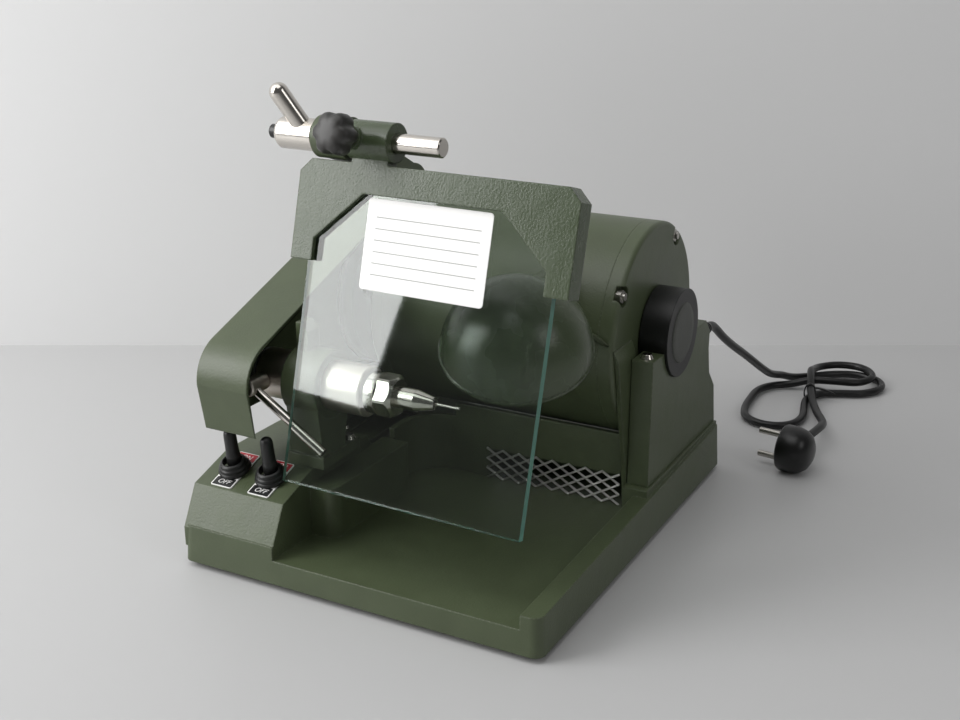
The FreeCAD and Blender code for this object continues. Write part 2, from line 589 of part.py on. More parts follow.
def make_bell(label, x, turn, spots):
    edge = "motor_radius"
    seat = "boss_radius - 3.5"
    reach = "bell_depth + boss_length"
    body = turned(label, [
        ("-4", "motor_bore - 6"), ("-4", "motor_bore"), ("0", "motor_bore"), ("0", edge),
        ("bell_depth - bell_edge", edge, "right", "bell_edge"), ("bell_depth", f"{edge} - bell_edge"),
        ("bell_depth", "boss_radius"), (reach, "boss_radius"), (reach, "motor_shaft_radius + 1"),
        ("bell_depth + motor_bearing_width", "motor_shaft_radius + 1"),
        ("bell_depth + motor_bearing_width", "motor_bearing_radius"),
        ("bell_depth - 1", "motor_bearing_radius"), ("bell_depth - 5", "motor_bearing_radius + 6"),
        ("3", "motor_bore - 8")], x, "motor_y", "motor_z", turn)
    pocket(body, circles(body, "YZ", [(y, z, "bolt_pocket") for y, z in spots], "bell_depth - 5"),
           "bell_depth")
    pocket(body, circles(body, "YZ", [(y, z, "bolt_hole") for y, z in spots], "-5"), "bell_depth * 2")
    return body


def make_motor():
    shell = new_body("motor_shell")
    pad(shell, circles(shell, "YZ", [("0", "0", "motor_radius")]), "shell_length")
    pocket(shell, circles(shell, "YZ", [("0", "0", "motor_bore")]), "shell_length")
    pocket(shell, circles(shell, "YZ", [(y, z, "bolt_hole") for y, z in bolt_places()]), "shell_length")
    put(shell, "shell_left", "motor_y", "motor_z")
    make_bell("motor_end_bell_right", "shell_left + shell_length", FreeCAD.Rotation(), bolt_places())
    mirrored = [(y, f"-({z})") for y, z in bolt_places()]
    make_bell("motor_end_bell_left", "shell_left", FreeCAD.Rotation(V(0, 1, 0), 180), mirrored)
    rods = []
    start = "shell_left - bell_depth + 5"
    length = "shell_length + bell_depth * 2 - 10"
    for y, z in bolt_places():
        at_y, at_z = f"motor_y + {y}", f"motor_z + {z}"
        rod = cylinder("bolt_radius", f"{length} + 12", f"{start} - 6", at_y, at_z, "x")
        heads = [rod]
        for x in (f"{start} - 4", f"{start} + {length}"):
            prism = document.addObject("Part::Prism", "nut")
            prism.Polygon = 6
            prism.setExpression("Circumradius", bound("nut_size * 0.577"))
            prism.Height = 4
            heads.append(put(prism, x, at_y, at_z, TURNS["x"]))
        rods.append(fuse(heads))
    node(group(rods), "motor_tie_bolts")
    stator_left = "shell_left + (shell_length - stator_length) / 2"
    node(cut(cylinder("motor_bore", "stator_length", stator_left, "motor_y", "motor_z", "x"),
             cylinder("rotor_radius + air_gap", "stator_length", stator_left, "motor_y", "motor_z", "x")),
         "motor_stator")
    coils = []
    for x in (f"{stator_left} - winding_length", f"{stator_left} + stator_length"):
        coils.append(cut(cylinder("winding_radius", "winding_length", x, "motor_y", "motor_z", "x"),
                         cylinder("rotor_radius + 5", "winding_length", x, "motor_y", "motor_z", "x")))
    node(group(coils), "stator_windings")
    node(cut(cylinder("rotor_radius", "stator_length", stator_left, "motor_y", "motor_z", "x"),
             cylinder("motor_shaft_radius", "stator_length", stator_left, "motor_y", "motor_z", "x")),
         "motor_rotor")
    right = "shell_left + shell_length + bell_depth"
    rings = []
    for x in (f"{right} - 1", "shell_left - bell_depth - motor_bearing_width"):
        rings.append(cut(cylinder("motor_bearing_radius", "motor_bearing_width + 1", x, "motor_y",
                                  "motor_z", "x"),
                         cylinder("motor_shaft_radius + shaft_clearance", "motor_bearing_width + 1", x,
                                  "motor_y", "motor_z", "x")))
    node(group(rings), "motor_bearings")
    node(cylinder("motor_shaft_radius", f"{right} + motor_bearing_width + 4 - pulley_right + pulley_width",
                  "pulley_right - pulley_width", "motor_y", "motor_z", "x"), "motor_shaft")
    pulley = "motor_pulley_radius"
    wheel = turned("motor_pulley", [
        ("0", "motor_shaft_radius"), ("0", "motor_shaft_radius + 8"), ("3", "motor_shaft_radius + 8"),
        ("3", f"{pulley} - 6"), ("0", f"{pulley} - 6"), ("0", f"{pulley} + 1"), ("1.6", f"{pulley} + 1"),
        ("2.4", f"{pulley} - belt_groove"), ("pulley_width - 2.4", f"{pulley} - belt_groove"),
        ("pulley_width - 1.6", f"{pulley} + 1"), ("pulley_width", f"{pulley} + 1"),
        ("pulley_width", f"{pulley} - 6"), ("pulley_width - 3", f"{pulley} - 6"),
        ("pulley_width - 3", "motor_shaft_radius + 8"), ("pulley_width", "motor_shaft_radius + 8"),
        ("pulley_width", "motor_shaft_radius")], "pulley_right - pulley_width", "motor_y", "motor_z")
    hole = circles(wheel, "YZ", [("0", f"{pulley} * 0.55", "9")])
    polar(wheel, pocket(wheel, hole, "pulley_width"), "5")
    fan = new_body("motor_fan")
    pad(fan, circles(fan, "YZ", [("0", "0", "motor_shaft_radius + 9")]), "fan_width")
    blade = outline(fan, "YZ", rectangle("-fan_blade / 2", "motor_shaft_radius + 6", "fan_blade / 2",
                                         "fan_radius"))
    polar(fan, pad(fan, blade, "fan_width"), "9")
    pocket(fan, circles(fan, "YZ", [("0", "0", "motor_shaft_radius")]), "fan_width")
    put(fan, f"{stator_left} + stator_length + winding_length + 3", "motor_y", "motor_z")


def make_mounts():
    right = "shell_left + shell_length + bell_depth"
    for label, x in (("rubber_mount_right", f"{right} + 1"),
                     ("rubber_mount_left", "shell_left - bell_depth - mount_length - 0.5")):
        ring = cut(cylinder("mount_radius", "mount_length", x, "motor_y", "motor_z", "x"),
                   cylinder("boss_radius", "mount_length", x, "motor_y", "motor_z", "x"))
        node(ring, label)
    seat = "mount_radius + fit_gap / 3"
    dip = "cradle_shoulder - motor_z"
    reach = f"sqrt(({seat})^2 - ({dip})^2)"
    tower = new_body("motor_cradle_right")
    shape = [("cradle_front", "deck_height"), ("cradle_rear", "deck_height"),
             ("cradle_rear - 6", "deck_height + 31"), ("cradle_rear - 19", "deck_height + 45"),
             ("relief_y", "relief_z - relief_flange - 1"), ("relief_y", "relief_z + relief_flange - 3"),
             ("cradle_slope", "cradle_shoulder"),
             (f"motor_y + {reach}", "cradle_shoulder", "right", seat),
             (f"motor_y - {reach}", "cradle_shoulder"), ("cradle_front", "cradle_shoulder")]
    pad(tower, outline(tower, "YZ", shape, "cradle_left"), "cradle_width")
    pocket(tower, circles(tower, "XZ", [("relief_x", "relief_z", "relief_radius - 1")], "-relief_y"),
           "relief_seat")
    left = new_body("motor_cradle_left")
    spread = "mount_radius + 22"
    shape = [(f"motor_y - {spread}", "deck_height"), (f"motor_y + {spread}", "deck_height"),
             ("motor_y + mount_radius + 8", "cradle_shoulder"),
             (f"motor_y + {reach}", "cradle_shoulder", "right", seat),
             (f"motor_y - {reach}", "cradle_shoulder"),
             ("motor_y - mount_radius - 8", "cradle_shoulder")]
    pad(left, outline(left, "YZ", shape, "left_cradle_left"), "left_cradle_width")


# Dust hood: a right wall that rounds over into a top, a back wall and a left wall
def make_hood():
    body = new_body("dust_hood")
    outer, inner = "hood_right", "hood_right - hood_wall"
    base = "tray_floor"
    arch = [(inner, base), (outer, base), (outer, "hood_top - hood_round", "left", "hood_round"),
            (f"{outer} - hood_round", "hood_top"), ("hood_top_left", "hood_top"),
            ("hood_top_left", "hood_top - hood_wall"), (f"{outer} - hood_round", "hood_top - hood_wall",
                                                        "right", "hood_round - hood_wall"),
            (inner, "hood_top - hood_round")]
    pad(body, outline(body, "XZ", arch, "12"), "hood_side_rear + 12", forward=False)
    front = outline(body, "YZ", [("-40", "tray_floor - 5"), ("hood_back", "tray_floor - 5"),
                                 ("hood_back", "tray_floor"), ("hood_back - 4", "tray_floor + 30"),
                                 ("-4", "hood_top - 16"), ("-9", "hood_top + 5"), ("-40", "hood_top + 5")])
    pocket(body, front, "base_width * 2", both=True)
    clear = circles(body, "YZ", [("motor_y", "motor_z", "motor_radius + fit_gap")],
                    "shell_left + shell_length + bell_depth")
    pocket(body, clear, "base_width", forward=False)
    back, thick = "hood_back", "hood_back_wall"
    left_in = "hood_left + hood_back_wall"
    plan = [("hood_left", "hood_left_front"), (left_in, "hood_left_front"),
            (left_in, f"{back} - hood_corner", "right", "hood_corner"),
            (f"{left_in} + hood_corner", back), (f"{inner} + 1", back),
            (f"{inner} + 1", f"{back} + {thick}"),
            (f"{left_in} + hood_corner", f"{back} + {thick}", "left", f"hood_corner + {thick}"),
            ("hood_left", f"{back} - hood_corner")]
    pad(body, outline(body, "XY", plan, base), "hood_left_height - tray_floor")
    rise = outline(body, "XY", rectangle(f"{left_in} + hood_corner", back, f"{inner} + 1",
                                         f"{back} + {thick}"), "hood_lip")
    pad(body, rise, "hood_back_top - hood_lip")
    mouth = outline(body, "XZ", rectangle("grille_left", base, inner, "hood_lip"), f"-({back} + {thick} + 2)")
    pocket(body, mouth, f"{thick} + 4")


def make_grille():
    body = new_body("suction_grille")
    right = "hood_right - hood_wall - 1"
    top = "hood_lip + 1"
    start = "-hood_back"
    pad(body, outline(body, "XZ", rectangle("grille_left - 2", "tray_floor", right, top), start),
        "grille_thickness")
    for row in range(5):
        shift = "mesh_pitch / 2" if row % 2 else "0"
        x = f"grille_left + mesh_pitch / 2 - 0.4 + {shift}"
        z = f"tray_floor + mesh_rise / 2 + {row} * mesh_rise / 2 + 0.6"
        wide, high = "(mesh_pitch / 2 - mesh_strand)", "(mesh_rise / 2 - mesh_strand / 2)"
        diamond = outline(body, "XZ", [(f"{x} - {wide}", z), (x, f"{z} - {high}"), (f"{x} + {wide}", z),
                                       (x, f"{z} + {high}")], start)
        hole = pocket(body, diamond, "grille_thickness * 4", both=True)
        pattern = body.newObject("PartDesign::LinearPattern", "mesh_row")
        pattern.Originals = [hole]
        pattern.Direction = (diamond, ["H_Axis"])
        count = f"floor(({right} - grille_left - {shift}) / mesh_pitch)"
        pattern.setExpression("Occurrences", bound(count))
        pattern.setExpression("Length", bound(f"mesh_pitch * ({count} - 1)"))
        body.Tip = pattern


def lamp_turn():
    return FreeCAD.Rotation(V(1, 0, 0), number("lamp_lean")).multiply(
        FreeCAD.Rotation(V(0, 1, 0), number("lamp_side_lean")))


def make_lamp():
    place = ("lamp_x", "lamp_y", "lamp_z")
    shade = new_body("lamp_hood")
    inside = "lamp_radius - lamp_wall"
    profile = [("0", "lamp_radius"), ("0", inside, "right", inside), (inside, "0"),
               ("lamp_radius + 0.6", "0"), ("lamp_radius + 0.6", "lamp_rim"),
               ("sqrt(lamp_radius^2 - lamp_rim^2)", "lamp_rim", "left", "lamp_radius")]
    revolve(shade, outline(shade, "XZ", profile), "V_Axis")
    put(shade, *place, lamp_turn())
    socket = new_body("lamp_socket")
    top = "lamp_radius - lamp_wall"
    revolve(socket, outline(socket, "XZ", [("0", f"{top} - socket_length"),
                                           ("socket_radius - 2", f"{top} - socket_length"),
                                           ("socket_radius", f"{top} - 5"),
                                           ("socket_radius", f"sqrt(({top})^2 - socket_radius^2)",
                                            "left", top), ("0", top)]), "V_Axis")
    put(socket, *place, lamp_turn())
    bulb = new_body("lamp_bulb")
    low = f"{top} - socket_length"
    revolve(bulb, outline(bulb, "XZ", [("0", low), ("0", f"{low} - bulb_radius * 1.6", "left", "bulb_radius"),
                                       ("bulb_radius * 0.8", low)]), "V_Axis")
    put(bulb, *place, lamp_turn())
    stub = cylinder("bracket_radius", "motor_y - lamp_y", "lamp_x", "lamp_y", "bracket_z", "y")
    shell = cylinder("motor_radius", "shell_length", "shell_left", "motor_y", "motor_z", "x")
    solid = cut(cut(stub, shell), put(ball("lamp_radius"), *place, lamp_turn()))
    front = cylinder("lamp_radius * 2", "lamp_radius * 2", "lamp_x", "lamp_y", "bracket_z", "-y")
    node(cut(solid, front), "lamp_bracket")


# Toggle switches on the sloping panel
def panel_turn():
    return FreeCAD.Rotation(V(1, 0, 0), number("panel_angle"))


def make_switches():
    level = "panel_low + (switch_back - panel_front) * tan(panel_angle)"
    plates, collars, bodies = [], [], []
    for index, name in enumerate(("motor_switch", "lamp_switch")):
        x = f"switch_left + {index} * switch_pitch"
        turn = panel_turn()
        lean = FreeCAD.Rotation(V(1, 0, 0), number("boot_lean"))

        def seated(thing, along="0", up="0", side="0"):
            cos, sin = "cos(panel_angle)", "sin(panel_angle)"
            return put(thing, f"{x} + ({side})", f"switch_back + ({along}) * {cos} - ({up}) * {sin}",
                       f"{level} + ({along}) * {sin} + ({up}) * {cos}", turn)

        plate = block("label_width", "label_length", "label_thickness", "0", "0", "0")
        seated(plate, "-label_length / 2", "0", "-label_width / 2")
        hole = cylinder("bushing_hole", "label_thickness * 6")
        seated(hole, "0", "-label_thickness * 3")
        plates.append(cut(plate, hole))
        ring = cone("collar_radius", "collar_top", "collar_height")
        seated(ring, "0", "label_thickness")
        mouth = cylinder("collar_mouth", "collar_height * 3")
        seated(mouth, "0", "label_thickness - collar_height")
        collars.append(cut(ring, mouth))
        under = "-base_wall - switch_height - switch_seat"
        case = block("switch_width", "switch_length", "switch_height", "0", "0", "0")
        seated(case, "-switch_length / 2", under, "-switch_width / 2")
        stem = cylinder("bushing_radius", "base_wall + switch_seat + label_thickness + 0.8")
        seated(stem, "0", "-base_wall - switch_seat")
        bore = cylinder("bushing_bore", "base_wall + label_thickness * 3")
        seated(bore, "0", "-base_wall + 0.5")
        bodies.append(cut(fuse([case, stem]), bore))
        start = "label_thickness + boot_start"
        boot = new_body(name + "_boot")
        big = "boot_radius"
        revolve(boot, outline(boot, "XY", [
            (start, "lever_radius"), (start, big), ("boot_height * 0.3", f"{big} + 0.6"),
            ("boot_height * 0.42", f"{big} - 0.6"), ("boot_height - 4", f"{big} - 0.8", "right", "4.4"),
            ("boot_height", "0.6"), ("boot_height", "0"), ("boot_height - 3", "0"),
            ("boot_height - 3", "lever_radius")]))
        lever_turn = FreeCAD.Rotation(V(1, 0, 0), number("boot_lean")).multiply(
            FreeCAD.Rotation(V(0, 1, 0), -90))
        put(boot, x, "switch_back", level, lever_turn)
        lever = cylinder("lever_radius", "boot_height")
        put(lever, x, "switch_back + 3 * sin(boot_lean)", f"{level} - 3 * cos(boot_lean)", lean)
        pivot = ball("bushing_bore - pivot_gap", x, "switch_back", level)
        node(fuse([lever, pivot]), name + "_lever")
    node(group(plates), "switch_plates")
    node(group(collars), "switch_collars")
    node(group(bodies), "switch_bodies")


# Shield, its rod and its clamp, in the rod's own frame
def rod_turn():
    return FreeCAD.Rotation(V(0, 0, 1), number("shield_yaw"))


def shield_turn():
    return rod_turn().multiply(FreeCAD.Rotation(V(1, 0, 0), -number("shield_tilt")))


def on_rod(thing, turn):
    return put(thing, "rod_x", "rod_y", "rod_z", turn)


def mirrored_frame():
    """The frame's front outline, right half then left half round its middle."""
    half = [("frame_half", "frame_top - frame_chamfer"), ("frame_half", "frame_bottom"),
            ("frame_half - leg_width", "frame_bottom"), ("frame_half - leg_width", "gusset_low"),
            ("gusset_half", "frame_top - band_height")]
    right = [(f"frame_middle + {x}", z) for x, z in half]
    left = [(f"frame_middle - ({x})", z) for x, z in reversed(half)]
    top = [("frame_middle - frame_half + frame_chamfer", "frame_top"),
           ("frame_middle + frame_half - frame_chamfer", "frame_top")]
    return top + right + left


def make_shield():
    frame = new_body("shield_frame")
    pad(frame, outline(frame, "XZ", mirrored_frame(), "frame_front"), "frame_thickness", forward=False)
    neck = outline(frame, "XZ", rectangle("-barrel_half + 2", "frame_top - 2", "barrel_half - 2", "0"),
                   "frame_front")
    pad(frame, neck, "frame_thickness - 4", forward=False)
    pad(frame, circles(frame, "YZ", [("0", "0", "barrel_radius")]), "barrel_half * 2", both=True)
    pad(frame, circles(frame, "XZ", [("knob_x", "0", "knob_neck")]), "knob_boss")
    slot = outline(frame, "XZ", rectangle("frame_middle - glass_half - fit_gap", "frame_bottom * 2",
                                          "frame_middle + glass_half + fit_gap", "glass_top + fit_gap"),
                   "glass_front")
    pocket(frame, slot, "glass_thickness", forward=False)
    pocket(frame, circles(frame, "YZ", [("0", "0", "rod_radius + shaft_clearance")]), "barrel_half * 4",
           both=True)
    pocket(frame, circles(frame, "XZ", [("knob_x", "0", "knob_stem + shaft_clearance")]), "knob_boss * 2")
    on_rod(frame, shield_turn())
    glass = new_body("shield_glass")
    pane = outline(glass, "XZ", rectangle("frame_middle - glass_half", "glass_bottom",
                                          "frame_middle + glass_half", "glass_top"), "glass_front")
    pad(glass, pane, "glass_thickness", forward=False)
    on_rod(glass, shield_turn())
    knob = new_body("clamp_knob")
    end = "knob_start + knob_length"
    revolve(knob, outline(knob, "XY", [
        ("rod_radius + 0.8", "0"), ("rod_radius + 0.8", "knob_stem"), ("knob_boss + 0.5", "knob_stem"),
        ("knob_boss + 0.5", "knob_neck"), ("knob_start", "knob_neck"), ("knob_start + 3", "knob_radius - 2"),
        ("knob_start + 6", "knob_radius"), (f"{end} - 8", "knob_radius - 1", "right", "18"),
        (end, "knob_radius * 0.5"), (end, "0")]))
    flute = circles(knob, "YZ", [("0", "knob_radius + knob_flute * 0.5", "knob_flute")], "knob_start + 2")
    polar(knob, pocket(knob, flute, "knob_length"), "knob_lobes")
    turn = shield_turn().multiply(FreeCAD.Rotation(V(0, 0, 1), -90))
    shift = rod_turn().multVec(V(number("knob_x"), 0, 0))
    put(knob, f"rod_x + knob_x * cos(shield_yaw)", f"rod_y + knob_x * sin(shield_yaw)", "rod_z", turn)


def make_rod():
    rod = new_body("shield_rod")
    revolve(rod, outline(rod, "XY", [("rod_left", "0"), ("rod_left", "rod_radius"),
                                     ("rod_right - 0.8", "rod_radius"), ("rod_right", "rod_radius - 0.8"),
                                     ("rod_right", "0")]))
    on_rod(rod, rod_turn())
    hub = new_body("clamp_hub")
    revolve(hub, outline(hub, "XY", [
        ("hub_left", "0"), ("hub_left", "hub_cap_radius + 1", "right", "hub_radius * 0.6"),
        ("hub_left + 4", "hub_radius"), ("hub_right - 0.8", "hub_radius"), ("hub_right", "hub_radius - 0.8"),
        ("hub_right", "rod_radius + shaft_clearance"), ("rod_left - 1", "rod_radius + shaft_clearance"),
        ("rod_left - 1", "0")]))
    on_rod(hub, rod_turn())
    cap = new_body("hub_cap")
    revolve(cap, outline(cap, "XY", [("hub_left", "0"), ("hub_left", "hub_cap_radius"),
                                     ("hub_left - hub_cap_length + 1", "hub_cap_radius"),
                                     ("hub_left - hub_cap_length", "hub_cap_radius - 1"),
                                     ("hub_left - hub_cap_length", "0")]))
    on_rod(cap, rod_turn())
    handle = new_body("handle_bar")
    revolve(handle, outline(handle, "XZ", [
        ("0", "0"), ("handle_radius", "0"),
        ("handle_radius", "handle_length - handle_radius", "left", "handle_radius"),
        ("0", "handle_length")]), "V_Axis")
    lean = rod_turn().multiply(FreeCAD.Rotation(V(1, 0, 0), number("handle_tip")))
    lean = lean.multiply(FreeCAD.Rotation(V(0, 1, 0), -number("handle_lean")))
    put(handle, "rod_x + handle_x * cos(shield_yaw)", "rod_y + handle_x * sin(shield_yaw)", "rod_z", lean)
    nodes.remove(handle)
    round_hub = cylinder("hub_radius", "handle_length * 2")
    along = rod_turn().multiply(FreeCAD.Rotation(V(0, 1, 0), -90))
    node(cut(handle, on_rod(round_hub, along)), "clamp_handle")


def make_arm():
    body = new_body("arm_casting")
    middle = "(head_left + head_right) / 2"
    shape = [("0", "head_radius"), ("arm_knee - arm_bend * 0.6", "-arm_drop + arm_bend * 0.3", "right",
                                    "arm_bend"),
             ("arm_knee + arm_bend * 0.3", "-arm_drop - arm_bend * 0.6"),
             ("arm_reach + arm_width * 0.8", "-arm_foot"), ("arm_reach - arm_width * 0.6", "-arm_foot"),
             ("arm_knee - arm_bend * 0.6", "-arm_drop - arm_bend * 0.9", "left", "arm_bend"),
             ("arm_knee - arm_bend * 1.1", "-arm_drop - arm_bend * 0.3"), ("0", "-head_radius")]
    pad(body, outline(body, "YZ", shape, middle), "arm_width", both=True)
    pad(body, circles(body, "YZ", [("0", "0", "head_radius")], middle), "head_right - head_left", both=True)
    pocket(body, circles(body, "YZ", [("0", "0", "rod_radius")], middle), "arm_width * 4", both=True)
    on_rod(body, rod_turn())
    nodes.remove(body)
    left = "rod_x + head_left - 3"
    wrap = cylinder("motor_radius + saddle_thickness", "saddle_width", left, "motor_y", "motor_z", "x")
    front = block("saddle_width", "saddle_length", "motor_radius * 2", left, "rod_y + arm_reach - 28",
                  "motor_z")
    saddle = document.addObject("Part::MultiCommon", "saddle")
    saddle.Shapes = [wrap, front]
    shell = cylinder("motor_radius", "shell_length * 2", "shell_left - shell_length / 2", "motor_y",
                     "motor_z", "x")
    node(cut(fuse([body, saddle]), shell), "shield_arm")


# Power cord: a strain relief, a tube along the route, a tied bundle and a plug
ROUTE = [(115, 155.5, 112), (115, 166, 112), (115.2, 178, 105), (115.5, 192, 95), (116, 208, 85),
         (116.6, 228, 74), (117.3, 250, 62.5), (118, 272, 50.5), (118.6, 290, 38), (118.9, 305, 23),
         (119, 318, 8), (119, 331, 8)]
TAIL = [(158, 292, 7), (169, 292, 7), (179, 283, 9.5), (185, 268, 12.5), (188, 251, 15.5),
        (188.5, 235, 17.5), (187.05, 220.5, 18), (185.1, 206.6, 18)]


def tube(points, radius):
    """A tube of straight runs joined by tangent arcs."""
    spots = [V(*point) for point in points]
    edges = []
    radii = []
    start = spots[0]
    for before, here, after in zip(spots, spots[1:], spots[2:]):
        arriving = (here - before).normalize()
        leaving = (after - here).normalize()
        half = arriving.getAngle(leaving) / 2
        shorter = min((here - before).Length, (after - here).Length)
        trim = 0.45 * shorter
        radii.append(trim / math.tan(half))
        first = here - arriving * trim
        last = here + leaving * trim
        inward = (leaving - arriving).normalize()
        bulge = here + inward * (radii[-1] / math.cos(half) - radii[-1])
        edges.append(Part.LineSegment(start, first).toShape())
        edges.append(Part.Arc(first, bulge, last).toShape())
        start = last
    edges.append(Part.LineSegment(start, spots[-1]).toShape())
    path = Part.Wire(edges)
    direction = (spots[1] - spots[0]).normalize()
    ring = Part.Wire(Part.Circle(spots[0], direction, radius).toShape())
    solid = path.makePipeShell([ring], True, False)
    share = solid.Volume / (math.pi * radius ** 2 * path.Length)
    print("cord", round(path.Length, 1), "mm, smallest radius", round(min(radii), 1), "volume share",
          round(share, 3))
    return solid


def make_cord():
    relief = new_body("strain_relief")
    revolve(relief, outline(relief, "XY", [
        ("-relief_seat", "0"), ("-relief_seat", "relief_radius - 1"), ("0", "relief_radius - 1"), ("0", "relief_flange"),
        ("3", "relief_flange"), ("4", "relief_radius"), ("relief_length", "cord_radius + 0.8"),
        ("relief_length", "0")]))
    put(relief, "relief_x", "relief_y", "relief_z", FreeCAD.Rotation(V(0, 0, 1), 90))
    for label, points in (("power_cord", ROUTE), ("cord_tail", TAIL)):
        lead = document.addObject("Part::Feature", label)
        lead.Shape = tube(points, number("cord_radius"))
        node(lead, label)
    bundle = new_body("cord_bundle")
    shape = [("106", "331"), ("124", "331"), ("124", "264"), ("134", "246"), ("144", "246"), ("158", "276"),
             ("158", "322"), ("164", "342"), ("200", "400"), ("192", "412"), ("148", "374"), ("118", "386"),
             ("105", "364")]
    pad(bundle, outline(bundle, "XY", shape), "bundle_height")
    plug = new_body("plug_body")
    revolve(plug, outline(plug, "XY", [
        ("0", "0"), ("0", "plug_radius - 1"), ("1", "plug_radius"), ("plug_depth * 0.5", "plug_radius"),
        ("plug_depth", "plug_radius * 0.6"), ("plug_depth", "0")]))
    pad(plug, circles(plug, "XZ", [("plug_depth / 3", "0", "plug_neck")]), "plug_reach", forward=False)
    turn = FreeCAD.Rotation(V(0, 0, 1), -number("plug_turn"))
    put(plug, "plug_x", "plug_y", "plug_radius", turn)
    pins = []
    for side in ("-1", "1"):
        pins.append(put(cylinder("plug_pin_radius", "plug_pin_length"), "plug_x", "plug_y",
                        f"plug_radius + {side} * plug_pin_pitch / 2",
                        turn.multiply(FreeCAD.Rotation(V(0, 1, 0), -90))))
    node(group(pins), "plug_pins")


make_base()
make_underside()
make_carrier()
make_spindle()
make_lock()
make_guard()
make_belt()
make_motor()
make_mounts()
make_hood()
make_grille()
make_lamp()
make_switches()
make_shield()
make_rod()
make_arm()
make_cord()
screws("large_screws", "large", [
    ("collar_left + 5", "spindle_y + carrier_foot_shift + carrier_foot_length / 2 - 5",
     "pod_height + carrier_foot", "z"),
    ("collar_left + carrier_width - 5", "spindle_y + carrier_foot_shift + carrier_foot_length / 2 - 5",
     "pod_height + carrier_foot", "z"),
    ("cradle_left + cradle_width / 2", "cradle_front + 8", "cradle_shoulder", "z"),
    ("cradle_left + cradle_width / 2", "cradle_slope - 10", "cradle_shoulder", "z")],
    ["base_casting", "spindle_carrier", "motor_cradle_right"])
screws("small_screws", "small", [
    ("guard_left + 9", "guard_foot_y + 20", "deck_height + guard_wall", "z"),
    ("guard_left + 9", "guard_rear_y - 20", "deck_height + guard_wall", "z")],
    ["base_casting", "belt_guard"])

document.recompute()
for item in document.Objects:
    if "Invalid" in item.State or "Error" in item.State:
        print("FAILED", item.Name, item.Label, item.State)
os.makedirs("parts", exist_ok=True)
for piece in nodes:
    shape = piece.Shape
    if shape.isNull() or not shape.isValid() or not shape.Solids:
        print("BAD", piece.Label)
        continue
    shape.exportStep(f"parts/{piece.Label}.step")
print(len(nodes), "nodes")
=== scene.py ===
# %% [markdown]
# # A dental lathe, dressed
# The lathe arrives from the CAD model with every rigid piece in its place, at its real size.
# This lesson gives it its looks: the camera and the studio first, then the power cord, the
# finishes, and the small pieces that CAD left plain, such as rubber boots and printed plates.

# %% Load the frame
import json
import math

import bmesh
import bpy
from mathutils import Matrix, Vector


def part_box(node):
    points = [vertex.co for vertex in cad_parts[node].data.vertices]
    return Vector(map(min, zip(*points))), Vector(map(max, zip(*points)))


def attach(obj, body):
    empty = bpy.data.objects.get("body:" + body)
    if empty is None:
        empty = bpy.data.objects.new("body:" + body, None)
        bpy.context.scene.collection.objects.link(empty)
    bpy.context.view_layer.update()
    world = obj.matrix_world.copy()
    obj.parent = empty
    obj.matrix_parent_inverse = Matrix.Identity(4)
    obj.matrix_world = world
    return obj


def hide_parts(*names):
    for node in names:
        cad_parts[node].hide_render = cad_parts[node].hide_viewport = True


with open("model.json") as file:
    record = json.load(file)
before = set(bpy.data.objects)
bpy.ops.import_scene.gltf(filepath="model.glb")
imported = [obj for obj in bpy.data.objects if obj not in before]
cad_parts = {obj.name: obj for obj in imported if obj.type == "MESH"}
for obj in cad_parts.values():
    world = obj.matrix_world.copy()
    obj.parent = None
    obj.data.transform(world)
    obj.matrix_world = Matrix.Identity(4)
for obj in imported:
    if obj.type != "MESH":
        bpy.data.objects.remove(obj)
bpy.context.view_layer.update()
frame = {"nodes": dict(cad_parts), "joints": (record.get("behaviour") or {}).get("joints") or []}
MM = 0.001


def joint_named(name):
    return next(joint for joint in frame["joints"] if joint["name"] == name)


print("CAD nodes:", len(frame["nodes"]))

# %% [markdown]
# ## The camera
# The photograph looks down at the lathe from its right. The camera's place was solved from the
# base's edges, so the lens and the two angles below are the photograph's own. A camera looks
# along its own -Z, so a view along +Y is a quarter turn about X.

# %% Camera
CAMERA_PLACE = Vector((0.3996, -0.7353, 0.4059))
CAMERA_SIDE = math.radians(28.2)
CAMERA_DOWN = math.radians(19.2)
SENSOR_WIDTH = 36.0
FOCAL_PIXELS = 1290
IMAGE_WIDTH = 960
NEAREST_SEEN = 0.01

camera_data = bpy.data.cameras.new("photo_camera")
camera_data.sensor_width = SENSOR_WIDTH
camera_data.lens = SENSOR_WIDTH * FOCAL_PIXELS / IMAGE_WIDTH
camera_data.clip_start = NEAREST_SEEN
camera = bpy.data.objects.new("photo_camera", camera_data)
camera.matrix_world = (Matrix.Translation(CAMERA_PLACE) @ Matrix.Rotation(CAMERA_SIDE, 4, "Z")
                       @ Matrix.Rotation(math.pi / 2 - CAMERA_DOWN, 4, "X"))
bpy.context.scene.collection.objects.link(camera)
bpy.context.scene.camera = camera
print("lens:", round(camera_data.lens, 1), "mm")

# %% [markdown]
# ## Colours and nodes
# Colours are written the way a paint chart gives them, as sRGB hex, and turned to the linear
# values that a renderer works in. One helper adds a node with its settings and its links, so a
# material reads from top to bottom like a recipe.

# %% Colour and node helpers
def linear(hex_colour):
    channels = [int(hex_colour[i:i + 2], 16) / 255 for i in (1, 3, 5)]
    return [c / 12.92 if c <= 0.04045 else ((c + 0.055) / 1.055) ** 2.4 for c in channels] + [1.0]


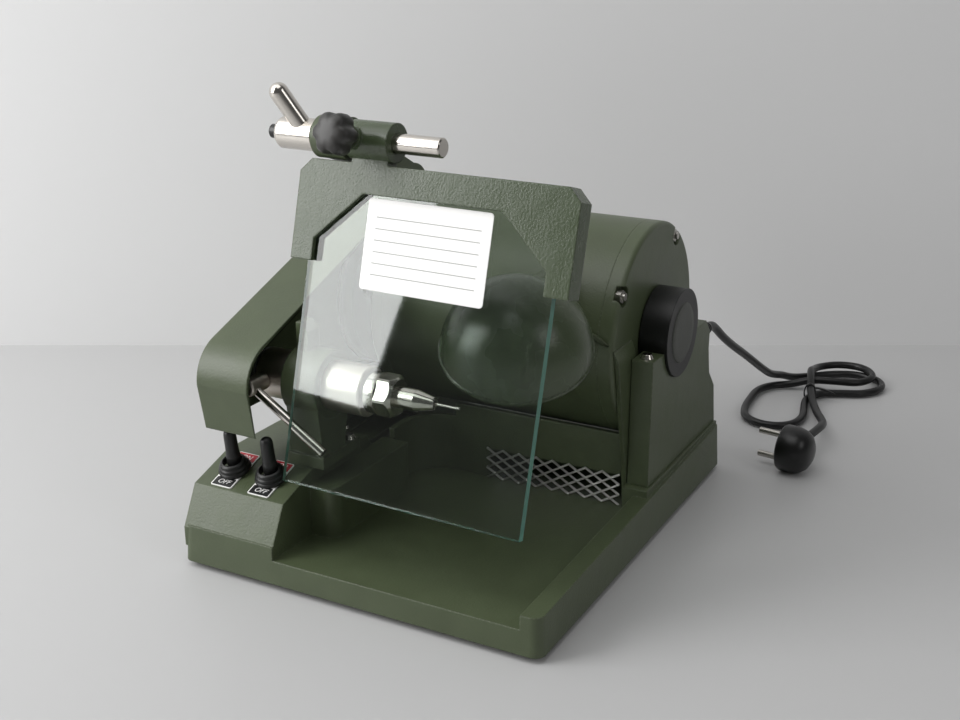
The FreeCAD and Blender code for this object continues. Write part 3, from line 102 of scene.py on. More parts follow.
def add(material, kind, settings=None, **inputs):
    """Add a node. An input is a value, or an output to link it to."""
    tree = material.node_tree
    new = tree.nodes.new(kind)
    for name, value in (settings or {}).items():
        setattr(new, name, value)
    for name, value in inputs.items():
        socket = new.inputs[int(name[1:])] if name[0] == "i" and name[1:].isdigit() else new.inputs[
            name.replace("_", " ")]
        if isinstance(value, bpy.types.NodeSocket):
            tree.links.new(value, socket)
        else:
            socket.default_value = value
    return new


def new_material(name):
    material = bpy.data.materials.new(name)
    material.use_nodes = True
    material.node_tree.nodes.clear()
    return material


def shade(material, shader):
    output = add(material, "ShaderNodeOutputMaterial")
    material.node_tree.links.new(shader.outputs[0], output.inputs["Surface"])
    return material


def object_place(material):
    return add(material, "ShaderNodeTexCoord").outputs["Object"]


# %% [markdown]
# ## The studio
# The photograph was taken on a pale table in front of a pale wall, under large soft lamps that
# stand mostly on the left. A wide lamp gives the soft edges of the shadow. The floor and the
# wall are two plain planes.

# %% Floor, wall and lamps
WALL_DISTANCE = 1.21
BLOTCHES_PER_METRE = 9.0
STAGE_WIDTH = 8
TABLE_DEPTH = 6
WALL_HEIGHT = 4
LAMPS_AIM = Vector((0, 0, 0.14))
view_direction = Vector((-math.sin(CAMERA_SIDE), math.cos(CAMERA_SIDE), 0))
wall_foot = Vector((CAMERA_PLACE.x, CAMERA_PLACE.y, 0)) + view_direction * WALL_DISTANCE

table_top = new_material("matt_table_top")
table_grain = add(table_top, "ShaderNodeTexNoise", Vector=object_place(table_top),
                  Scale=BLOTCHES_PER_METRE, Detail=4.0)
table_gloss = add(table_top, "ShaderNodeMapRange", Value=table_grain.outputs[0], To_Min=0.36,
                  To_Max=0.5)
table_colour = add(table_top, "ShaderNodeBsdfPrincipled", Base_Color=linear("#bcbcbc"),
                   Roughness=table_gloss.outputs[0])
table_colour.inputs["Specular IOR Level"].default_value = 0.3
shade(table_top, table_colour)
wall_paint = new_material("matt_wall_paint")
wall_colour = add(wall_paint, "ShaderNodeBsdfPrincipled", Base_Color=linear("#dddddd"), Roughness=0.9)
shade(wall_paint, wall_colour)


def stage_plane(name, width, depth, matrix, material):
    bm = bmesh.new()
    bmesh.ops.create_grid(bm, x_segments=1, y_segments=1, size=0.5)
    bmesh.ops.scale(bm, vec=(width, depth, 1), verts=bm.verts)
    bmesh.ops.transform(bm, matrix=matrix, verts=bm.verts)
    mesh = bpy.data.meshes.new(name)
    bm.to_mesh(mesh)
    bm.free()
    mesh.materials.append(material)
    plane = bpy.data.objects.new(name, mesh)
    bpy.context.scene.collection.objects.link(plane)


turn_to_view = Matrix.Rotation(CAMERA_SIDE, 4, "Z")
table_middle = Matrix.Translation(wall_foot - view_direction * (TABLE_DEPTH / 2))
wall_middle = Matrix.Translation(wall_foot + Vector((0, 0, WALL_HEIGHT / 2)))
stage_plane("table", STAGE_WIDTH, TABLE_DEPTH, table_middle @ turn_to_view, table_top)
stage_plane("wall", STAGE_WIDTH, WALL_HEIGHT, wall_middle @ turn_to_view
            @ Matrix.Rotation(math.pi / 2, 4, "X"), wall_paint)


def soft_lamp(name, azimuth, height, distance, size, watts):
    """A rectangular soft lamp that looks at the lathe from an azimuth in degrees."""
    data = bpy.data.lights.new(name, "AREA")
    data.shape = "RECTANGLE"
    data.size, data.size_y = size
    data.energy = watts
    lamp = bpy.data.objects.new(name, data)
    angle = math.radians(azimuth)
    place = Vector((math.cos(angle) * distance, math.sin(angle) * distance, height))
    aim = (LAMPS_AIM - place).to_track_quat("-Z", "Y")
    lamp.matrix_world = Matrix.Translation(place) @ aim.to_matrix().to_4x4()
    bpy.context.scene.collection.objects.link(lamp)


soft_lamp("left_window", -136, 0.74, 1.5, (0.82, 1.1), 19)
soft_lamp("left_high", -150, 1.5, 1.2, (1.2, 1.0), 8)
soft_lamp("overhead", -100, 1.9, 0.5, (1.5, 1.2), 9)
soft_lamp("right_window", -11, 0.95, 1.4, (0.45, 0.6), 2.0)

world = bpy.data.worlds.new("grey_room")
world.use_nodes = True
world.node_tree.nodes.clear()
bounce = add(world, "ShaderNodeBackground", Color=linear("#dcdcdc"), Strength=0.38)
mirrored = add(world, "ShaderNodeBackground", Color=linear("#8f8f8f"), Strength=0.35)
glossy_ray = add(world, "ShaderNodeLightPath").outputs["Is Glossy Ray"]
room = add(world, "ShaderNodeMixShader", i0=glossy_ray, i1=bounce.outputs[0], i2=mirrored.outputs[0])
add(world, "ShaderNodeOutputWorld", Surface=room.outputs[0])
bpy.context.scene.world = world
bpy.context.scene.view_settings.view_transform = "Standard"
print("lamps:", len(bpy.data.lights))

# %% [markdown]
# ## Making a piece
# A piece starts as a bmesh. Most small parts of a machine are turned, so one helper spins a
# profile of (radius, height) points about Z. Another one moves the mesh to its place, gives it
# its material, and lets it ride on the body that carries it.

# %% Piece helpers
def turned_mesh(profile, steps=48):
    """Spin (radius, height) points, in millimetres, about Z."""
    bm = bmesh.new()
    ring = [bm.verts.new((radius * MM, 0, height * MM)) for radius, height in profile]
    edges = [bm.edges.new(pair) for pair in zip(ring, ring[1:])]
    bmesh.ops.spin(bm, geom=ring + edges, cent=(0, 0, 0), axis=(0, 0, 1), angle=2 * math.pi,
                   steps=steps, use_merge=True)
    bmesh.ops.remove_doubles(bm, verts=bm.verts, dist=1e-6)
    bmesh.ops.recalc_face_normals(bm, faces=bm.faces)
    return bm


def plate_mesh(width, length, thickness):
    """A flat plate with its middle at the origin, lying on Z = 0, in millimetres."""
    bm = bmesh.new()
    bmesh.ops.create_cube(bm, size=1)
    bmesh.ops.scale(bm, vec=(width * MM, length * MM, thickness * MM), verts=bm.verts)
    bmesh.ops.translate(bm, vec=(0, 0, thickness * MM / 2), verts=bm.verts)
    return bm


def rounded_plate(width, length, thickness, corner):
    """A flat plate whose four upright edges are rounded."""
    bm = plate_mesh(width, length, thickness)
    upright_edges = [edge for edge in bm.edges
                     if abs(edge.verts[0].co.z - edge.verts[1].co.z) > thickness * MM / 2]
    bmesh.ops.bevel(bm, geom=upright_edges, offset=corner * MM, segments=5, profile=0.5,
                    affect="EDGES", material=-1)
    return bm


def make_piece(name, bm, material, body, matrix=None, smooth=True):
    if matrix is not None:
        bmesh.ops.transform(bm, matrix=matrix, verts=bm.verts)
    mesh = bpy.data.meshes.new(name)
    bm.to_mesh(mesh)
    bm.free()
    mesh.materials.append(material)
    for polygon in mesh.polygons:
        polygon.use_smooth = smooth
    piece = bpy.data.objects.new(name, mesh)
    bpy.context.scene.collection.objects.link(piece)
    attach(piece, body)
    return piece


# %% [markdown]
# ## Green enamel
# The castings are painted with olive-green enamel over a rough cast skin, sprayed so that it
# dries with fine bumps like orange peel, about a millimetre and a half across. Light from above
# spreads over the bumps into a pale bloom, which is why upper faces look greyer than the sides.
# Two noises make the skin: a fine one for the enamel and a coarse one for the casting below. A
# bevel in the shader rounds the edges that CAD left sharp, as thick paint does.

# %% Enamel
ORANGE_PEEL = 1.4 * MM
CASTING_WAVE = 22 * MM
EDGE_ROUND = 1.4 * MM


def enamel(name, base, light, chipped, roughness):
    material = new_material(name)
    place = object_place(material)
    peel = add(material, "ShaderNodeTexNoise", Vector=place, Scale=1 / ORANGE_PEEL, Detail=3.0,
               Roughness=0.55)
    wave = add(material, "ShaderNodeTexNoise", Vector=place, Scale=1 / CASTING_WAVE, Detail=2.0)
    edge = add(material, "ShaderNodeBevel", {"samples": 4}, Radius=EDGE_ROUND)
    coarse = add(material, "ShaderNodeBump", Height=wave.outputs[0], Strength=0.25, Distance=1.2 * MM,
                 Normal=edge.outputs[0])
    fine = add(material, "ShaderNodeBump", Height=peel.outputs[0], Strength=0.45, Distance=0.35 * MM,
               Normal=coarse.outputs[0])
    tone = add(material, "ShaderNodeMix", {"data_type": "RGBA"}, Factor=wave.outputs[0])
    tone.inputs[6].default_value = linear(base)
    tone.inputs[7].default_value = linear(light)
    flat_normal = add(material, "ShaderNodeNewGeometry").outputs["Normal"]
    bend = add(material, "ShaderNodeVectorMath", {"operation": "DOT_PRODUCT"}, i0=edge.outputs[0],
               i1=flat_normal)
    on_edge = add(material, "ShaderNodeMapRange", Value=bend.outputs["Value"], From_Min=0.97,
                  From_Max=0.86, To_Min=0.0, To_Max=1.0)
    rubbed = add(material, "ShaderNodeMapRange", Value=peel.outputs[0], From_Min=0.5, From_Max=0.66,
                 To_Min=0.0, To_Max=0.6)
    wear = add(material, "ShaderNodeMath", {"operation": "MULTIPLY"}, i0=on_edge.outputs[0],
               i1=rubbed.outputs[0])
    worn = add(material, "ShaderNodeMix", {"data_type": "RGBA"}, Factor=wear.outputs[0],
               i6=tone.outputs[2])
    worn.inputs[7].default_value = linear(chipped)
    gloss = add(material, "ShaderNodeMapRange", Value=wave.outputs[0], To_Min=roughness - 0.05,
                To_Max=roughness + 0.07)
    surface = add(material, "ShaderNodeBsdfPrincipled", Base_Color=worn.outputs[2],
                  Roughness=gloss.outputs[0], Normal=fine.outputs[0])
    return shade(material, surface)


green_enamel = enamel("olive_green_enamel", "#434c35", "#505a41", "#8b8f7d", 0.38)
smooth_enamel = enamel("smooth_olive_enamel", "#3f4a33", "#4a5540", "#8b8f7d", 0.26)
grey_enamel = enamel("dusty_grey_enamel", "#41443f", "#4d4f4a", "#77776f", 0.5)
print("enamels: 3")

# %% [markdown]
# ## Metals
# The rod, the clamp lever and the spindle's housing are plated with nickel and chrome: bright,
# a little warm, and not quite a mirror. Turned steel has fine rings that the tool left; here every
# metal gets a fine noise bump at the scale of the tool's feed instead.
# Base colours of metals are their reflections, so they stay pale, and roughness does the rest.
# The housing and its lock screw are satin: a rougher plating, whose lights are broad and soft.

# %% Plated and turned metals
TOOL_FEED = 0.5 * MM
SMUDGES_PER_METRE = 60.0


def metal(name, colour, roughness, scratch=0.1):
    material = new_material(name)
    place = object_place(material)
    brushing = add(material, "ShaderNodeTexNoise", Vector=place, Scale=1 / TOOL_FEED, Detail=2.0)
    smudge = add(material, "ShaderNodeTexNoise", Vector=place, Scale=SMUDGES_PER_METRE,
                 Detail=3.0)
    gloss = add(material, "ShaderNodeMapRange", Value=smudge.outputs[0], To_Min=roughness * 0.7,
                To_Max=roughness * 1.4)
    edge = add(material, "ShaderNodeBevel", {"samples": 4}, Radius=0.5 * MM)
    bump = add(material, "ShaderNodeBump", Height=brushing.outputs[0], Strength=scratch,
               Distance=0.05 * MM, Normal=edge.outputs[0])
    surface = add(material, "ShaderNodeBsdfPrincipled", Base_Color=linear(colour), Metallic=1.0,
                  Roughness=gloss.outputs[0], Normal=bump.outputs[0])
    return shade(material, surface)


chrome_plate = metal("chrome_plate", "#cfcac3", 0.17)
satin_chrome = metal("satin_chrome", "#d0c8bf", 0.36, 0.2)
turned_steel = metal("turned_steel", "#b9b6b0", 0.3, 0.25)
cast_aluminium = metal("cast_aluminium", "#bcbdbf", 0.4, 0.3)
expanded_steel = metal("zinc_plated_steel", "#d6d6d2", 0.34, 0.2)
copper_wire = metal("enamelled_copper", "#b8703f", 0.35, 0.3)
print("metals: 6")

# %% [markdown]
# ## Rubber and plastic
# Boots, mounts and feet are moulded rubber: near black, dull, with a dusty bloom. The knob and
# the plug are moulded plastic, glossier, so they catch sharper lights. The plug is as dark as the
# rubber; the knob is greyer, partly from dust and partly from a painted sheen of its gloss.

# %% Moulded finishes
def moulded(name, colour, roughness, grain, strength):
    material = new_material(name)
    place = object_place(material)
    skin = add(material, "ShaderNodeTexNoise", Vector=place, Scale=1 / (grain * MM), Detail=2.0)
    edge = add(material, "ShaderNodeBevel", {"samples": 4}, Radius=0.8 * MM)
    bump = add(material, "ShaderNodeBump", Height=skin.outputs[0], Strength=strength,
               Distance=0.1 * MM, Normal=edge.outputs[0])
    surface = add(material, "ShaderNodeBsdfPrincipled", Base_Color=linear(colour),
                  Roughness=roughness, Normal=bump.outputs[0])
    return shade(material, surface)


black_rubber = moulded("moulded_rubber", "#0e0f0e", 0.42, 0.8, 0.3)
black_plastic = moulded("moulded_abs", "#101010", 0.34, 0.6, 0.15)
# The knob's grey base is partly dust and partly a painted sheen that stands in for its gloss.
knob_plastic = moulded("dust_and_sheen_knob_plastic", "#2f2e2c", 0.42, 0.9, 0.25)
cord_rubber = moulded("cord_rubber", "#0c0c0c", 0.38, 0.7, 0.12)
white_plastic = moulded("white_enamel_print", "#fbfaf8", 0.4, 0.5, 0.02)
black_print = moulded("black_enamel_print", "#171818", 0.4, 0.5, 0.02)
red_print = moulded("red_enamel_print", "#b01f2c", 0.4, 0.5, 0.02)
grey_print = moulded("grey_ruled_line", "#a9a8a6", 0.5, 0.5, 0.02)
print("rubbers, plastics and inks: 8")

# %% [markdown]
# ## Glass
# The shield is float glass, 5 mm thick. Looked at square on it is clear with a faint cool tint,
# but light that enters it leaves by the edges, and the iron in it makes them green. The edges
# are found by their direction: a face's normal is the pane's own normal, an edge's is not.

# %% Shield glass
SHIELD_YAW = math.radians(-1.8)
SHIELD_TILT = math.radians(-15)
GREEN_BY_NORMAL = 0.5
shield_turn = Matrix.Rotation(SHIELD_YAW, 4, "Z") @ Matrix.Rotation(SHIELD_TILT, 4, "X")
rod_place = Vector(joint_named("shield_swing")["pos_m"])
shield_frame_place = Matrix.Translation(rod_place) @ shield_turn
pane_normal = (shield_turn @ Vector((0, -1, 0, 0))).to_3d()


def float_glass(name):
    material = new_material(name)
    normal = add(material, "ShaderNodeNewGeometry").outputs["Normal"]
    local = add(material, "ShaderNodeVectorTransform",
                {"vector_type": "NORMAL", "convert_from": "WORLD", "convert_to": "OBJECT"},
                Vector=normal)
    facing = add(material, "ShaderNodeVectorMath", {"operation": "DOT_PRODUCT"}, i0=local.outputs[0],
                 i1=tuple(pane_normal))
    square = add(material, "ShaderNodeMath", {"operation": "ABSOLUTE"}, i0=facing.outputs["Value"])
    is_edge = add(material, "ShaderNodeMath", {"operation": "LESS_THAN"}, i0=square.outputs[0],
                  i1=GREEN_BY_NORMAL)
    clear = add(material, "ShaderNodeBsdfPrincipled", Base_Color=linear("#eef5f1"), Roughness=0.02,
                IOR=1.5)
    clear.inputs["Transmission Weight"].default_value = 1.0
    green_edge = add(material, "ShaderNodeBsdfPrincipled", Base_Color=linear("#4c8f7b"), Roughness=0.25)
    green_edge.inputs["Transmission Weight"].default_value = 0.35
    mix = add(material, "ShaderNodeMixShader", i0=is_edge.outputs[0], i1=clear.outputs[0],
              i2=green_edge.outputs[0])
    return shade(material, mix)


shield_glass = float_glass("float_glass")
bulb_glass = new_material("frosted_bulb_glass")
frosted = add(bulb_glass, "ShaderNodeBsdfPrincipled", Base_Color=linear("#f4f0e6"), Roughness=0.4)
frosted.inputs["Transmission Weight"].default_value = 0.6
shade(bulb_glass, frosted)
print("glasses: 2")

# %% [markdown]
# ## Dressing the CAD pieces
# Most castings, shafts and screws already have the right shape, so they only need the finish
# that the real ones have. Each finish is given to the nodes that it belongs to by name.

# %% Finishes on CAD nodes
FINISHES = {
    green_enamel: ["base_casting", "spindle_carrier", "belt_guard", "motor_shell", "motor_end_bell_left",
                   "motor_end_bell_right", "motor_cradle_left", "motor_cradle_right", "dust_hood",
                   "lamp_bracket", "shield_arm"],
    smooth_enamel: ["lamp_hood", "shield_frame"],
    satin_chrome: ["spindle_housing", "lock_screw"],
    chrome_plate: ["chuck_nut", "chuck_nose", "lock_bar", "shield_rod",
                   "clamp_hub", "clamp_handle", "large_screws", "small_screws"],
    turned_steel: ["spindle_shaft", "spindle_bearings", "motor_shaft", "motor_bearings", "mandrel_pin",
                   "base_plate", "motor_stator", "motor_rotor", "plug_pins", "switch_collars",
                   "motor_switch_lever", "lamp_switch_lever", "motor_tie_bolts"],
    cast_aluminium: ["spindle_pulley", "motor_pulley"],
    expanded_steel: ["suction_grille"],
    black_rubber: ["rubber_feet", "drive_belt", "rubber_mount_left", "rubber_mount_right",
                   "motor_switch_boot", "lamp_switch_boot"],
    black_plastic: ["motor_fan", "clamp_knob", "hub_cap", "lamp_socket", "switch_bodies", "plug_body",
                    "strain_relief"],
    white_plastic: ["switch_plates"],
    copper_wire: ["stator_windings"],
    shield_glass: ["shield_glass"],
    bulb_glass: ["lamp_bulb"],
    cord_rubber: ["power_cord", "cord_tail", "cord_bundle"],
}
for finish, names in FINISHES.items():
    for name in names:
        node = bpy.data.objects[name]
        node.data.materials.clear()
        node.data.materials.append(finish)
print("CAD nodes given a finish:", sum(len(names) for names in FINISHES.values()))

# %% [markdown]
# ## The power cord
# One rubber-covered lead, 6.5 mm thick and a little under a metre long, leaves the strain relief
# behind the motor, slopes down to the table and is tied in a loose hank before its plug: a loop
# on each side of the tie and a smaller one on top. It is one smooth curve through a few control
# points, because a real lead bends evenly and has no corners. Where it crosses itself it rises
# by its own thickness.

# %% Cord
CORD_DIAMETER = 6.5 * MM
FLOOR = 4
FALL = [(115, 155.5, 112), (115, 164, 111.5), (115.2, 176, 105), (115.5, 191, 95), (116, 208, 85),
        (116.6, 228, 74), (117.3, 250, 62.5), (118, 272, 50.5), (118.6, 290, 40.5), (119, 308, 31),
        (120, 325, 22), (121.5, 340, 16.5), (124, 353, 12.5)]
FAR_LOOP = [(129.5, 367, 6.5), (143, 386, FLOOR), (160, 402, FLOOR), (180, 410, FLOOR), (201, 402, FLOOR),
            (207, 381, FLOOR), (195, 361, FLOOR), (176, 353, FLOOR), (160, 345, FLOOR)]
NEAR_LOOP = [(153, 327, FLOOR), (157, 304, FLOOR), (163, 280, FLOOR), (158, 257, FLOOR), (139, 248, FLOOR),
             (119, 258, FLOOR), (112, 281, FLOOR), (110, 305, FLOOR), (109, 327, FLOOR), (117, 345, FLOOR),
             (132, 354, 4.5), (149, 358, 10.5)]
TOP_LOOP = [(169, 363, 10.8), (189, 371, 9.5), (198, 391, 10.8), (184, 412, 10.8), (161, 411, 10.8),
            (146, 395, 10.8), (145, 378, 13), (147, 362, 18.5), (151, 347, 17)]
TO_PLUG = [(155, 332, 11.2), (162, 313, 7.5), (171, 292, 6.5), (180, 271, 9), (186, 252, 13.5),
           (188.5, 235, 17.5), (187.05, 220.5, 18), (185.1, 206.6, 18)]
cord_points = FALL + FAR_LOOP + NEAR_LOOP + TOP_LOOP + TO_PLUG

cord_curve = bpy.data.curves.new("mains_lead", "CURVE")
cord_curve.dimensions = "3D"
spline = cord_curve.splines.new("NURBS")
spline.points.add(len(cord_points) - 1)
for point, (x, y, z) in zip(spline.points, cord_points):
    point.co = (x * MM, y * MM, z * MM, 1)
spline.order_u = 3
spline.use_endpoint_u = True
cord_curve.resolution_u = 12
cord_curve.bevel_depth = CORD_DIAMETER / 2
cord_curve.bevel_resolution = 6
cord_curve.materials.append(cord_rubber)
mains_lead = bpy.data.objects.new("mains_lead", cord_curve)
bpy.context.scene.collection.objects.link(mains_lead)
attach(mains_lead, "machine")
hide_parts("power_cord", "cord_bundle", "cord_tail")
print("cord points:", len(cord_points))

# %% [markdown]
# ## The plug and the strain relief
# The plug is one rubber moulding round two round pins: a drum with a domed back, and a ribbed
# sleeve where the lead goes in, which lets it bend without a kink. The strain relief at the
# motor is the same idea, a flange and a ribbed taper. All three are turned shapes.

# %% Plug and strain relief
PLUG_MIDDLE = Vector((173, 178, 18)) * MM
PLUG_YAW = math.radians(-8)
SLEEVE_FROM_FACE = 8 * MM
RELIEF_MIDDLE = Vector((115, 133.5, 112)) * MM
plug_pins_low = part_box("plug_pins")[0]
plug_place = Matrix.Translation(PLUG_MIDDLE) @ Matrix.Rotation(PLUG_YAW, 4, "Z")
along_x = Matrix.Rotation(math.pi / 2, 4, "Y")
along_y = Matrix.Rotation(-math.pi / 2, 4, "X")


def ribbed_sleeve(start, end, thick, thin, ribs):
    """A tapered sleeve with raised rings, as (radius, height) points."""
    profile = [(thin - 0.4, start), (thick, start)]
    step = (end - start) / (ribs + 1)
    for rib in range(ribs):
        height = start + step * (rib + 0.8)
        radius = thick + (thin - thick) * (height - start) / (end - start)
        profile += [(radius - 0.7, height - step * 0.3), (radius - 0.7, height - step * 0.12),
                    (radius + 0.1, height), (radius + 0.1, height + step * 0.32)]
    return profile + [(thin, end - 0.6), (thin - 0.4, end)]


DRUM = [(0, 0), (15.4, 0), (17.2, 0.5), (18, 1.9), (18, 8), (17.7, 12), (16.4, 16.6), (13.8, 20.4),
        (9.4, 23.0), (4, 23.9), (0, 24)]
FLANGE = [(0, -9.8), (5, -9.8), (5, 0), (8, 0), (8, 2.4), (7.4, 3), (6, 3.2)]
drum = make_piece("plug_drum", turned_mesh(DRUM), black_plastic, "machine", plug_place @ along_x)
plug_sleeve = make_piece("plug_sleeve", turned_mesh(ribbed_sleeve(13, 30, 6.6, 4.0, 4)), black_plastic,
                         "machine", plug_place @ Matrix.Translation((SLEEVE_FROM_FACE, 0, 0)) @ along_y)
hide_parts("plug_body")
relief_sleeve = make_piece("relief_sleeve", turned_mesh(FLANGE + ribbed_sleeve(4, 22, 6, 4.0, 4)[1:]),
                           black_plastic, "machine", Matrix.Translation(RELIEF_MIDDLE) @ along_y)
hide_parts("strain_relief")
print("plug pins from", [round(value, 3) for value in plug_pins_low])

# %% [markdown]
# ## The cable tie
# A nylon tie gathers the lead where its turns cross. It is a flat strap bent round the bundle,
# made from a short tube: a ring of faces, stretched to the bundle's width and height. Its tail
# sticks out to one side, a thin strip that curls a little.

# %% Cable tie
TIE_PLACE = Vector((154.4, 333, 7.7)) * MM
TIE_YAW = math.radians(10)
STRAP_WIDTH = 3.4 * MM
STRAP_THICKNESS = 1.0 * MM
LOOP_RADII = (5.2 * MM, 8.4 * MM)
TAIL_LENGTH = 18 * MM
TAIL_WIDTH = 3 * MM
TAIL_CURL = 14
TAIL_MIDDLE = Vector((12.5, 0, 5.4)) * MM
tie_turn = Matrix.Translation(TIE_PLACE) @ Matrix.Rotation(TIE_YAW, 4, "Z")
tie = bmesh.new()
bmesh.ops.create_cone(tie, cap_ends=False, segments=32, radius1=1, radius2=1, depth=STRAP_WIDTH)
bmesh.ops.scale(tie, vec=(*LOOP_RADII, 1), verts=tie.verts)
bmesh.ops.solidify(tie, geom=tie.faces, thickness=STRAP_THICKNESS)
cable_tie = make_piece("cable_tie", tie, black_plastic, "machine", tie_turn @ Matrix.Rotation(
    math.pi / 2, 4, "X"))
tail = bmesh.new()
bmesh.ops.create_grid(tail, x_segments=8, y_segments=1, size=0.5)
bmesh.ops.scale(tail, vec=(TAIL_LENGTH, TAIL_WIDTH, 1), verts=tail.verts)
for vert in tail.verts:
    vert.co.z = -TAIL_CURL * (vert.co.x + TAIL_LENGTH / 2) ** 2
bmesh.ops.solidify(tail, geom=tail.faces, thickness=STRAP_THICKNESS)
tie_tail = make_piece("cable_tie_tail", tail, black_plastic, "machine",
                      tie_turn @ Matrix.Translation(TAIL_MIDDLE))

print("tied at", [round(value, 3) for value in TIE_PLACE])

# %% [markdown]
# ## Switch boots
# Each toggle is covered by a rubber boot: a ribbed skirt that seals on the panel, and a sleeve
# over the lever. The skirt stays put and the sleeve tips with the lever, so they are two pieces.
# Both are turned shapes, so a profile spun about the lever's axis makes them.

# %% Boots
PANEL_ANGLE = math.radians(18)
LEVER_LEAN = math.radians(8)
SKIRT = [(8.2, 1.0), (10.6, 0.9), (11.0, 1.6), (11.0, 2.8), (10.4, 3.5), (9.7, 3.9), (10.1, 4.7),
         (10.0, 5.5), (9.2, 6.2), (8.6, 6.6), (8.9, 7.3), (8.4, 8.2), (7.4, 8.9), (6.7, 9.1), (6.4, 8.8),
         (6.6, 7.6), (8.2, 5.5), (8.2, 1.0)]
SLEEVE = [(0, 4.6), (4.6, 4.6), (4.75, 6), (4.7, 8), (4.65, 10.0), (4.9, 10.8), (4.85, 12.2),
          (4.5, 13.2), (4.35, 16), (4.2, 24), (4.15, 27.3), (3.75, 29.3), (2.7, 30.6), (1.2, 31.1),
          (0, 31.2)]
for switch in ("motor_switch", "lamp_switch"):
    pivot = Matrix.Translation(Vector(joint_named(switch + "_tilt")["pos_m"]))
    skirt = make_piece(switch + "_skirt", turned_mesh(SKIRT), black_rubber, "machine",
                       pivot @ Matrix.Rotation(PANEL_ANGLE, 4, "X"))
    sleeve = make_piece(switch + "_sleeve", turned_mesh(SLEEVE), black_rubber, switch,
                        pivot @ Matrix.Rotation(LEVER_LEAN, 4, "X"))
    for piece in (skirt, sleeve):
        smoothing = piece.modifiers.new("soft_rubber", "SUBSURF")
        smoothing.levels = smoothing.render_levels = 1
    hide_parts("switch_collars")
    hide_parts(switch + "_boot")
print("boots: 2")

# %% [markdown]
# ## Switch plates
# Under each boot sits a printed plate: white, with a black field for OFF in front and a red one
# for ON behind. The print is only ink, but a thin raised field keeps its edge crisp. Letters are
# a text curve turned to a mesh, because a piece's place belongs in its mesh.

# %% Printed plates and letters
PLATE_SIZE = (16.4, 34, 0.8)
FIELD_SIZE = (15, 7.4, 0.1)
FIELD_FROM_MIDDLE = 12.7
LETTER_HEIGHT = 5.4
LETTER_THICKNESS = 0.06
LETTERS_ABOVE_PLATE = 0.14


def letters(name, word, size, material, body, matrix):
    curve = bpy.data.curves.new(name, "FONT")
    curve.body = word
    curve.size = size * MM
    curve.extrude = LETTER_THICKNESS * MM
    curve.align_x = "CENTER"
    curve.align_y = "CENTER"
    curve.shear = 0.2
    holder = bpy.data.objects.new(name + "_curve", curve)
    bpy.context.scene.collection.objects.link(holder)
    bpy.context.view_layer.update()
    mesh = bpy.data.meshes.new_from_object(holder)
    bpy.data.objects.remove(holder)
    mesh.transform(matrix)
    mesh.materials.clear()
    mesh.materials.append(material)
    mesh.name = name
    piece = bpy.data.objects.new(name, mesh)
    bpy.context.scene.collection.objects.link(piece)
    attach(piece, body)
    return piece


for switch in ("motor_switch", "lamp_switch"):
    pivot = Matrix.Translation(Vector(joint_named(switch + "_tilt")["pos_m"]))
    panel = pivot @ Matrix.Rotation(PANEL_ANGLE, 4, "X")
    plate = make_piece(switch + "_plate", rounded_plate(*PLATE_SIZE, 1.2), white_plastic, "machine",
                       panel, smooth=False)
    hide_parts("switch_plates")
    for word, along, field_colour in (("OFF", -FIELD_FROM_MIDDLE, black_print),
                                      ("ON", FIELD_FROM_MIDDLE, red_print)):
        spot = panel @ Matrix.Translation(Vector((0, along, PLATE_SIZE[2])) * MM)
        make_piece(f"{switch}_{word}_field", rounded_plate(*FIELD_SIZE, 0.5), field_colour, "machine",
                   spot, smooth=False)
        letters(f"{switch}_{word}", word, LETTER_HEIGHT, white_plastic, "machine",
                spot @ Matrix.Translation((0, 0, LETTERS_ABOVE_PLATE * MM)))
print("printed words: 4")

# %% [markdown]
# ## The clamp knob
# The knob that fixes the shield on its rod is a moulded star knob with six soft lobes for the
# fingers. It starts as a turned blank with many steps. Then each point moves in towards the axis
# where a flute runs, more at the rim than at the face, which leaves the lobes between.

# %% Star knob
LOBES = 6
FLUTE_DEPTH = 0.2
BLANK = [(0, 17.4), (6.8, 17.4), (7, 18.2), (7.2, 20.4), (10.2, 22.2), (12.4, 24.2), (13.1, 26.6),
         (13.1, 31.6), (12.5, 34.4), (10.8, 36.5), (7.6, 37.7), (3.5, 38.1), (0, 38.2)]
FLUTE_START = 7.5
FLUTE_RISE = 5
knob_joint = joint_named("knob_turn")
knob_turn = Vector(knob_joint["axis"]).to_track_quat("Z", "Y").to_matrix().to_4x4()
knob_place = Matrix.Translation(Vector(knob_joint["pos_m"])) @ knob_turn
knob = turned_mesh(BLANK, steps=96)
for vert in knob.verts:
    radius = math.hypot(vert.co.x, vert.co.y)
    reach = min(max((radius / MM - FLUTE_START) / FLUTE_RISE, 0), 1)
    wave = (0.5 - 0.5 * math.cos(LOBES * math.atan2(vert.co.y, vert.co.x))) ** 2
    shrink = 1 - FLUTE_DEPTH * reach * wave
    vert.co.x *= shrink
    vert.co.y *= shrink
star_knob = make_piece("star_knob", knob, knob_plastic, "clamp_knob", knob_place)
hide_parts("clamp_knob")
print("knob lobes:", LOBES)

# %% [markdown]
# ## The motor's hub
# Inside the right rubber ring sits the flat end of the end bell's boss, closed by a painted
# disc. It is dusty and greyer than the castings, with a narrow chamfer that catches the light.

# %% Hub disc
RING_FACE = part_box("rubber_mount_right")[1][0]
MOTOR_AXIS_Y, MOTOR_AXIS_Z = 0.068, 0.134
DISC = [(0, -0.6), (20.9, -0.6), (20.9, 0.1), (20.2, 0.6), (15, 0.5), (0, 0.5)]
hub_place = Matrix.Translation(Vector((RING_FACE, MOTOR_AXIS_Y, MOTOR_AXIS_Z))) @ along_x
make_piece("hub_disc", turned_mesh(DISC, steps=64), grey_enamel, "machine", hub_place)
print("ring face at x =", round(RING_FACE, 4))

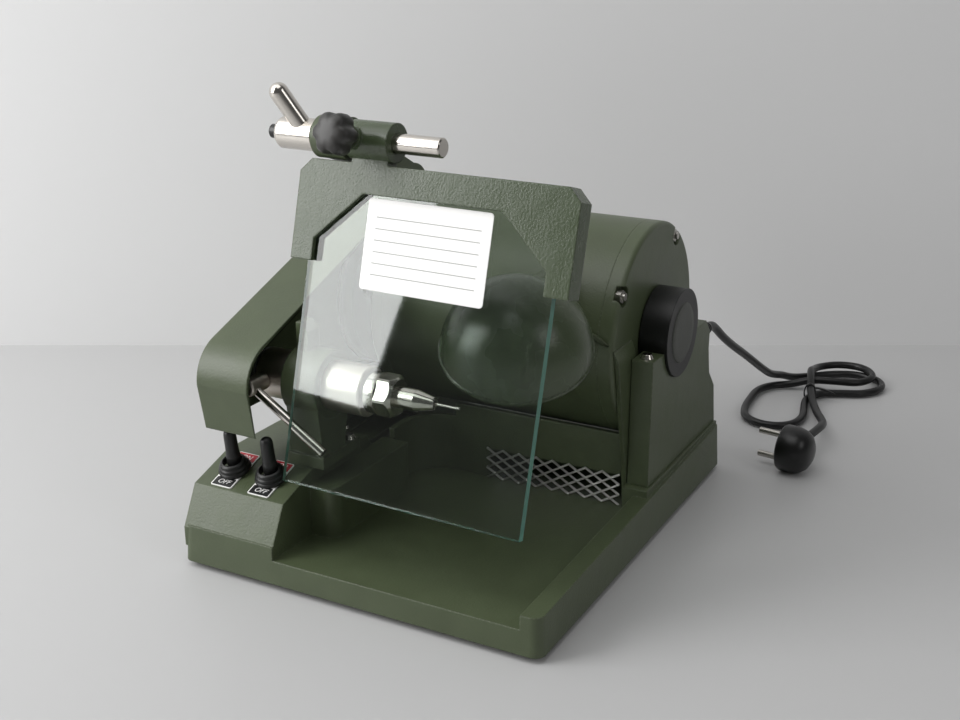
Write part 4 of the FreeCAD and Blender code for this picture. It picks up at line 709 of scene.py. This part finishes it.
# %% [markdown]
# ## The suction grille
# The grille is expanded metal: a sheet that was slit in rows and pulled open, so each strand
# stands twisted out of the sheet's plane and catches the light by itself. Half-cells repeat the
# same short strand, leaning left and right by turns, and each is turned about its own length.

# %% Expanded metal
grille_low, grille_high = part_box("suction_grille")
HALF_CELL = Vector((6.3, 0, 3.75)) * MM
STRAND_OVERLAP = 0.7 * MM
STRAND = (HALF_CELL.length + STRAND_OVERLAP, 1.5 * MM, 0.8 * MM)
TWIST = math.radians(38)
lean = math.atan2(HALF_CELL.z, HALF_CELL.x)
columns = int((grille_high[0] - grille_low[0]) / HALF_CELL.x)
ROWS = 6
mesh_middle = (grille_low[1] + grille_high[1]) / 2
grille = bmesh.new()
for column in range(columns):
    for row in range(ROWS):
        side = 1 if (column + row) % 2 == 0 else -1
        spot = Vector((grille_low[0] + (column + 0.5) * HALF_CELL.x, mesh_middle,
                       grille_low[2] + (row + 0.5) * HALF_CELL.z))
        turn = Matrix.Rotation(-side * lean, 4, "Y") @ Matrix.Rotation(TWIST, 4, "X")
        bmesh.ops.create_cube(grille, size=1, matrix=Matrix.Translation(spot) @ turn @ Matrix.Diagonal(
            (*STRAND, 1)))
expanded_grille = make_piece("expanded_grille", grille, expanded_steel, "machine",
                             smooth=False)
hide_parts("suction_grille")
print("strands:", columns * ROWS)

# %% [markdown]
# ## The notice on the shield
# A white self-adhesive sheet is stuck to the front of the glass. It is kept blank here, with
# plain ruled lines like a card that is still to be filled in. It is tenths of a millimetre
# thick, so it stands just proud of the glass.

# %% Notice
NOTICE_LEFT, NOTICE_RIGHT, NOTICE_LOW, NOTICE_HIGH = 1, 87, -88.5, -33.5
GLASS_FRONT = -1
LINE_COUNT = 6
SHEET_THICKNESS = 0.2
SHEET_CORNER = 2.4
FIRST_LINE = 0.3
LINE_STEP = 0.125
LINE_SHARE = 0.84
upright = Matrix.Rotation(math.pi / 2, 4, "X")
notice_middle = Vector(((NOTICE_LEFT + NOTICE_RIGHT) / 2, GLASS_FRONT - 0.02,
                        (NOTICE_LOW + NOTICE_HIGH) / 2)) * MM
notice_place = shield_frame_place @ Matrix.Translation(notice_middle) @ upright
notice_width, notice_height = NOTICE_RIGHT - NOTICE_LEFT, NOTICE_HIGH - NOTICE_LOW
sheet = rounded_plate(notice_width, notice_height, SHEET_THICKNESS, SHEET_CORNER)
make_piece("notice_sheet", sheet, white_plastic, "shield", notice_place, smooth=False)
ruled = bmesh.new()
for row in range(LINE_COUNT):
    height = notice_height * (FIRST_LINE - row * LINE_STEP)
    bmesh.ops.create_cube(ruled, size=1, matrix=Matrix.Translation(Vector((0, height, 0.21)) * MM)
                          @ Matrix.Diagonal((notice_width * LINE_SHARE * MM, 0.5 * MM, 0.06 * MM, 1)))
make_piece("notice_lines", ruled, grey_print, "shield", notice_place, smooth=False)
print("notice:", notice_width, "x", notice_height, "mm")
